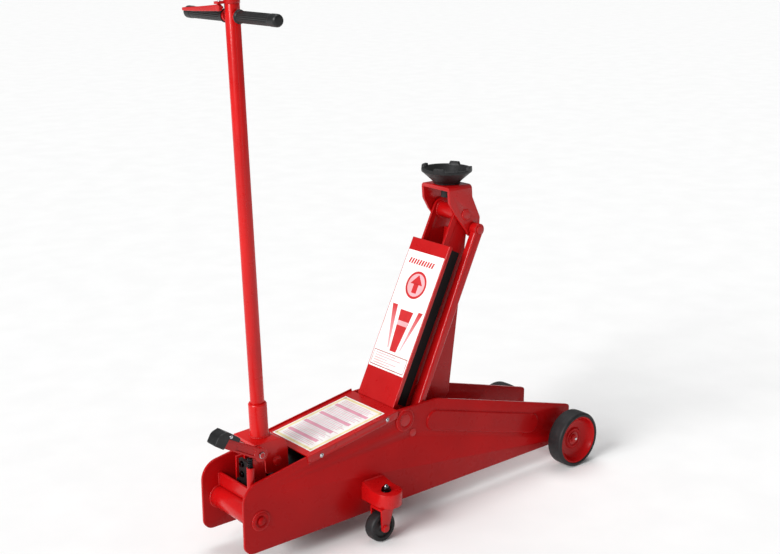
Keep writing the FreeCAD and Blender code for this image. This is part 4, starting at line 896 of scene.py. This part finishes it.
class JackPedal(bpy.types.Operator):
    """Ribbed rubber pedal pad with its rivet, and the pedal's hub bolt"""

    bl_idname = "jack.pedal"
    bl_label = "Pedal"

    def execute(self, context):
        coats = finishes(context.scene)
        rise = context.scene.jack_sizes.pedal_rise
        back = np.array((-math.cos(rise), 0, math.sin(rise)))
        over = np.array((math.sin(rise), 0, math.cos(rise)))
        hub = pivot("pedal_press")
        low, high = extent("pedal_pad")
        middle = (low[1] + high[1]) / 2
        half = (high[1] - low[1]) / 2
        place = stand((hub[0], middle, hub[2]), Y, back)
        share = np.linspace(0, 1, 86)
        grooves, deep = 7, 1.1
        crest = 25.4 + share * 3.0 - deep * (1 - np.cos(share * 2 * np.pi * grooves)) / 2
        top = np.column_stack((97 + share * 43, crest))
        corners = (
            (92.4, 24), (92.4, 14.2), (126.4, 14.2), (130.2, -16.6), (160.8, -14.8), (160.8, 12), (146, 28.2),
        )
        outline = np.vstack((eased(corners, (2, 0.6, 0.6, 2, 4, 8, 4)), top[::-1]))
        s = np.linspace(-1, 1, 25)
        scale = 1 - np.abs(s) ** 12 * 0.035
        centre = np.array((134.0, 10.0))
        points = np.concatenate(
            [
                np.column_stack(((outline - centre) * k + centre, np.full(len(outline), half * v)))
                for k, v in zip(scale, s)
            ]
        )
        self.pad(points, len(s), len(outline), place, coats["grip"])
        rivet = eased(((0, -1), (5, -1), (5, 0.8), (3.5, 2.6), (0, 3.2)), (0.3, 0.4, 1, 1, 1))
        spot = np.array((hub[0], 0, hub[2])) + back * 124 + over * 21
        seat = stand((spot[0], low[1] + 0.4, spot[2]), -Y, X)
        bolt_seat = stand((hub[0], extent("pedal_bracket")[0][1] + 3.6, hub[2]), -Y, X)
        nut = eased(((0, -3), (9, -3), (9, 2.4), (7.4, 3.4), (0, 3.4)), 0.4)
        piece("pedal_rivet", [turned(rivet, seat, 36)], coats["zinc"], "pedal")
        piece("pedal_hub_nut", [turned(nut, bolt_seat, 48, hexagon(16))], coats["zinc"], "chassis", crease=25)
        return {"FINISHED"}

    def pad(self, points, rows, count, place, coat):
        """The pad's skin, its two flat ends closed by one face each."""
        faces = grid_faces(rows, count)
        mesh = bpy.data.meshes.new("pedal_pad_rubber")
        ends = [list(range(count))[::-1], list(range(len(points) - count, len(points)))]
        mesh.from_pydata(put(points, place).tolist(), [], faces.tolist() + ends)
        build = bmesh.new()
        build.from_mesh(mesh)
        bmesh.ops.triangulate(build, faces=[face for face in build.faces if len(face.verts) > 4])
        bmesh.ops.recalc_face_normals(build, faces=build.faces)
        build.to_mesh(mesh)
        build.free()
        mesh.shade_smooth()
        mesh.set_sharp_from_angle(angle=math.radians(38))
        thing = bpy.data.objects.new("pedal_pad_rubber", mesh)
        bpy.context.scene.collection.objects.link(thing)
        finish(thing, coat, "pedal", ("pedal_pad",))


class JackPumps(bpy.types.Operator):
    """Return springs of the hand and foot plungers, and the pump block's hexagon bolts"""

    bl_idname = "jack.pumps"
    bl_label = "Pumps"

    def execute(self, context):
        coats = finishes(context.scene)
        low, high = extent("plunger_spring")
        middle = (low + high) / 2
        head = extent("hand_plunger")[1][2]
        block_top = 200.0
        line = helix(11.6, block_top + 1.4, head - 5.4, 8) + np.array((middle[0], 0, 0))
        points, faces = carried(circle(1.3, 12), line, Z)
        spring = piece(
            "hand_plunger_spring", [(points * MM, faces)], coats["spring"], "chassis", ("plunger_spring",),
        )
        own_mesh(spring)
        low, high = extent("foot_plunger")
        barrel = extent("foot_pump_barrel")[1][2]
        middle = (low + high) / 2
        line = helix(6.9, barrel + 0.9, high[2] - 5.9, 6) + np.array((middle[0], middle[1], 0))
        points, faces = carried(circle(0.7, 12), line, Z)
        spring = piece("foot_plunger_spring", [(points * MM, faces)], coats["dark"], "chassis")
        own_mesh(spring)
        low, high = extent("pump_bolts")
        rows = ((28, high[2] - 7), (28, high[2] - 36), (-40, low[2] + 7), (40, low[2] + 7))
        outline = eased(((0, -1), (8.1, -1), (8.1, 4.6), (6.6, 5.8), (0, 5.8)), 0.4)
        washer = eased(((0, -1), (9.5, -1), (9.5, 1), (0, 1)), 0.3)
        shapes = []
        for y, z in rows:
            seat = stand((high[0], y, z), -X, Y)
            shapes += [turned(outline, seat, 48, hexagon(14)), turned(washer, seat, 48)]
        bolts = ("pump_bolts",)
        piece("pump_block_bolts", shapes, coats["dark"], "chassis", bolts, crease=25)
        return {"FINISHED"}


class JackFastenings(bpy.types.Operator):
    """Domed cover screws with a driver recess"""

    bl_idname = "jack.fastenings"
    bl_label = "Fastenings"

    def execute(self, context):
        coats = finishes(context.scene)
        low, high = extent("cover_screws")
        places = ((low[0] + 5, low[2] + 5), (high[0] - 5, high[2] - 5))
        face = extent("top_cover")[1][1]
        outline = eased(
            (
                (0, -0.5), (6.2, -0.5), (6.2, 0.8), (5.2, 0.9), (4.6, 2.6), (2.4, 4), (1.6, 4), (1.4, 2.2),
                (0, 2),
            ),
            (0.2, 0.4, 0.2, 0.5, 1.2, 0.4, 0.3, 0.3, 0.3),
        )
        seats = [stand((x, away * face, z), Y * away, X) for x, z in places for away in (1, -1)]
        shapes = [turned(outline, seat, 40) for seat in seats]
        piece("cover_dome_screws", shapes, coats["zinc"], "chassis", ("cover_screws",))
        return {"FINISHED"}


class JackWelds(bpy.types.Operator):
    """Fillet weld seams, painted over with the steelwork"""

    bl_idname = "jack.welds"
    bl_label = "Welds"

    def execute(self, context):
        sizes = context.scene.jack_sizes
        coats = finishes(context.scene)
        wide = sizes.weld / MM
        pitch = sizes.ripple / MM

        def seam(line):
            """A round bead along a line, its radius swelling by 12% at each ripple."""
            length = np.r_[0, np.cumsum(np.linalg.norm(np.diff(line, axis=0), axis=1))]
            swell = 1 + 0.12 * np.cos(2 * np.pi * length / pitch) + 0.05 * np.sin(length / 17)
            points, faces = carried(circle(wide, 12), line, Z + 0.01 * X, swell, swell)
            return points * MM, faces

        def ring(centre, axis, radius):
            """A closed circular seam."""
            origin, turn = stand(centre, axis, X if abs(axis[0]) < 0.9 else Y)
            count = 240
            a = np.arange(count) * (2 * np.pi / count)
            line = np.column_stack((circle(radius, count), np.zeros(count))) @ turn.T + origin
            length = a * radius
            swell = 1 + 0.12 * np.cos(2 * np.pi * length / pitch)
            points, faces = carried(circle(wide, 12), line, axis, swell, swell, True)
            return points * MM, faces

        low, high = extent("caster_brackets")
        plate = extent("top_cover")[1][1] - 3
        tube_low, tube_high = extent("rear_cross_tube")
        tube = (tube_low + tube_high) / 2
        cross_low, cross_high = extent("rear_cross_plate")
        share = np.linspace(0, 1, 90)[:, None]
        shapes = []
        for away in (1, -1):
            face = away * (plate + 0.6)
            for inset, z in ((6, low[2] + 0.3), (8, high[2] - 0.8)):
                start = np.array((low[0] + inset, face, z))
                stop = np.array((high[0] - inset, face, z))
                shapes.append(seam(start + (stop - start) * share))
            shapes.append(ring((tube[0], away * 94.2, tube[2]), Y, 30.6))
            shapes.append(ring((tube[0], away * (plate + 0.4), tube[2]), Y, 25.4))
            shapes.append(ring((ARM_FOOT[0], away * (plate + 0.4), ARM_FOOT[2]), Y, 30.2))
            z = np.linspace(cross_low[2] + 2, cross_high[2] - 2, 50)
            shapes.append(seam(np.column_stack((np.full(50, cross_low[0]), np.full(50, away * 94.4), z))))
        piece("chassis_welds", shapes, coats["enamel"], "chassis")
        origin, turn = HANDLE
        foot = origin + turn @ np.array((-15, 0, 62.6))
        piece("handle_sleeve_weld", [ring(foot, HANDLE_LINE, 26.6)], coats["enamel"], "handle")
        bracket = extent("saddle_bracket")[1][1]
        head = [ring(ARM_HEAD + Y * away * (bracket + 0.2), Y, 13.6) for away in (1, -1)]
        piece("bracket_pin_welds", head, coats["enamel"], "saddle_head")
        arm = []
        for away in (1, -1):
            arm.append(ring(ARM_FOOT + Y * away * 48.6, Y, 28.4))
            arm.append(ring(ARM_HEAD + Y * away * 39.6, Y, 23.4))
        piece("arm_welds", arm, coats["enamel"], "lift_arm")
        return {"FINISHED"}


class JackLabels(bpy.types.Operator):
    """Printed labels: bars, an arrow in a ring and lines of rules, with no lettering"""

    bl_idname = "jack.labels"
    bl_label = "Labels"

    def execute(self, context):
        coats = finishes(context.scene)
        self.guard_label(coats["vinyl"])
        self.cover_label(coats["vinyl"], context.scene.jack_sizes.cover_slope)
        return {"FINISHED"}

    def printed(self, name, layers, place, coat, body):
        """Joins (quads, colours, floor, top) layers as one label; colours are one hex, or a pair to fade."""
        shapes = []
        inks = []
        for quads, codes, floor, top in layers:
            quads = np.asarray(quads, float)
            points, faces = slips(quads, floor, top)
            shapes.append((put(points, place), faces))
            if isinstance(codes, str):
                inks.append(np.tile(linear(codes), (len(points), 1)))
            else:
                ends = np.array([linear(codes[0]), linear(codes[0]), linear(codes[1]), linear(codes[1])])
                inks.append(np.tile(ends, (len(quads) * 2, 1)))
        piece(name, shapes, coat, body, ink=np.vstack(inks), crease=30)

    def bars(self, x0, x1, y0, y1):
        """Upright rectangles from arrays of their sides."""
        x0, x1, y0, y1 = np.broadcast_arrays(*[np.atleast_1d(np.asarray(v, float)) for v in (x0, x1, y0, y1)])
        return np.stack([np.stack(corner, -1) for corner in ((x0, y0), (x1, y0), (x1, y1), (x0, y1))], 1)

    def ring(self, centre, inner, outer, count=64):
        """A flat ring as quads round its centre."""
        a = np.arange(count + 1) * (2 * np.pi / count)
        way = np.column_stack((np.cos(a), np.sin(a)))
        near, far = centre + way * inner, centre + way * outer
        return np.stack((near[:-1], far[:-1], far[1:], near[1:]), 1)

    def guard_label(self, coat):
        """Across is x from the jack's left to its right as seen from behind, and up is y along the arm."""
        red, deep, pink, white = "#CE2226", "#A63A3C", "#F0B6BB", "#FBFAF8"
        foot, head, half = 111.0, 467.0, 76.0
        guard_face = 38.0
        origin = ARM_FOOT + ARM_LINE * (foot + head) / 2 + ARM_BACK * guard_face
        place = (origin, np.column_stack((-Y, ARM_LINE, ARM_BACK)))
        tall = (head - foot) / 2
        dashes = np.arange(-57, 50, 10.7)
        words = self.bars(dashes, dashes + 6.4, tall - 38, tall - 22)
        words = words + np.stack(((words[..., 1] - tall) * 0.3 + 8, words[..., 1] * 0), -1)
        centre = np.array((2.0, tall - 96))
        shaft = ((-10, -24), (10, -24), (10, 4), (-10, 4))
        point = ((-25, 2), (25, 2), (0.5, 30), (-0.5, 30))
        arrow = np.array((shaft, point), float) + centre
        wedge = np.array((((-12, -120), (14, -120), (30, 4), (-24, 4)),), float)
        left = np.array((((-25, -112), (-21, -112), (-42, 14), (-64, 14)),), float)
        right = np.array((((27, -112), (30, -112), (68, 10), (50, 10)),), float)
        band = self.bars(-20, 24, -42, -28)
        box_low, box_high = -tall + 5, -tall + 48
        frame_lines = self.bars(
            (-half + 4, -half + 4, -half + 4, half - 5.5), (half - 4, half - 4, -half + 5.5, half - 4),
            (box_low, box_high, box_low, box_low), (box_low + 2.2, box_high + 2.2, box_high, box_high),
        )
        rows = np.linspace(box_low + 7, box_high - 7, 5)
        rules = self.bars(-half + 14, (10, 34, -8, 46, 22), rows, rows + 2.6)
        self.printed(
            "guard_label",
            (
                (self.bars(-half, half, -tall, tall), white, 0.0, 0.3),
                (words, red, 0.2, 0.4),
                (self.ring(centre, 0.01, 38), pink, 0.2, 0.4),
                (self.ring(centre, 34, 41), red, 0.2, 0.5),
                (arrow, red, 0.2, 0.55),
                (wedge, red, 0.2, 0.4),
                (left, (pink, red), 0.2, 0.4),
                (right, (pink, red), 0.2, 0.4),
                (band, pink, 0.2, 0.5),
                (frame_lines, deep, 0.2, 0.4),
                (rules, pink, 0.2, 0.4),
            ),
            place, coat, "lift_arm",
        )

    def cover_label(self, coat, slope):
        """Across is x up the cover's slope, and y is to the jack's left."""
        cream, white, pink, mauve, grey = "#F4E6AE", "#FAF9F6", "#EBA3B8", "#EBC0CC", "#E3D3D8"
        low, high = extent("top_cover")
        along = np.array((math.cos(slope), 0, math.sin(slope)))
        over = np.array((-math.sin(slope), 0, math.cos(slope)))
        corner = np.array((high[0], 0, high[2] - 5 * math.cos(slope)))
        origin = corner - along * 167.5
        place = (origin + over * 0.02, np.column_stack((along, Y, over)))
        length, half = 131.5, 88.0
        rows = np.arange(-112, 112, 6.2)
        count = len(rows)
        ends = -56 - 18 * np.sin(np.arange(count) * 2.4) * np.cos(np.arange(count) * 0.9)
        heading = np.arange(count) % 9 == 4
        bold = self.bars(rows[heading] - 4, rows[heading] + 7.5, np.clip(ends[heading], -70, -30), 72)
        thin = self.bars(rows[~heading], rows[~heading] + 2.8, ends[~heading], 66)
        border = self.bars(
            (-length + 4, length - 12, -length + 4, -length + 4),
            (-length + 12, length - 4, length - 4, length - 4),
            (-half + 4, -half + 4, -half + 4, half - 12),
            (half - 4, half - 4, -half + 12, half - 4),
        )
        self.printed(
            "cover_label",
            (
                (self.bars(-length, length, -half, half), white, 0.0, 0.3),
                (border, cream, 0.2, 0.4),
                (bold, pink, 0.2, 0.4),
                (thin[::2], mauve, 0.2, 0.4),
                (thin[1::2], grey, 0.2, 0.4),
            ),
            place, coat, "chassis",
        )


class JackPanel(bpy.types.Panel):
    """Steps of the jack, in order"""

    bl_idname = "VIEW3D_PT_jack"
    bl_label = "Trolley Jack"
    bl_space_type = "VIEW_3D"
    bl_region_type = "UI"
    bl_category = "Jack"

    def draw(self, context):
        for operator in OPERATORS:
            self.layout.operator(operator.bl_idname)


OPERATORS = (
    JackStage, JackSteelwork, JackFrontWheels, JackCasters, JackSaddle, JackHandle, JackPedal, JackPumps,
    JackFastenings, JackWelds, JackLabels,
)
CLASSES = (JackColours, JackSizes, *OPERATORS, JackPanel)


def register():
    for item in CLASSES:
        bpy.utils.register_class(item)
    bpy.types.Scene.jack_colours = bpy.props.PointerProperty(type=JackColours)
    bpy.types.Scene.jack_sizes = bpy.props.PointerProperty(type=JackSizes)


def unregister():
    del bpy.types.Scene.jack_sizes
    del bpy.types.Scene.jack_colours
    for item in reversed(CLASSES):
        bpy.utils.unregister_class(item)


def main():
    """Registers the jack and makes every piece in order."""
    register()
    for operator in OPERATORS:
        group, name = operator.bl_idname.split(".")
        getattr(getattr(bpy.ops, group), name)()


if __name__ == "__main__":
    main()
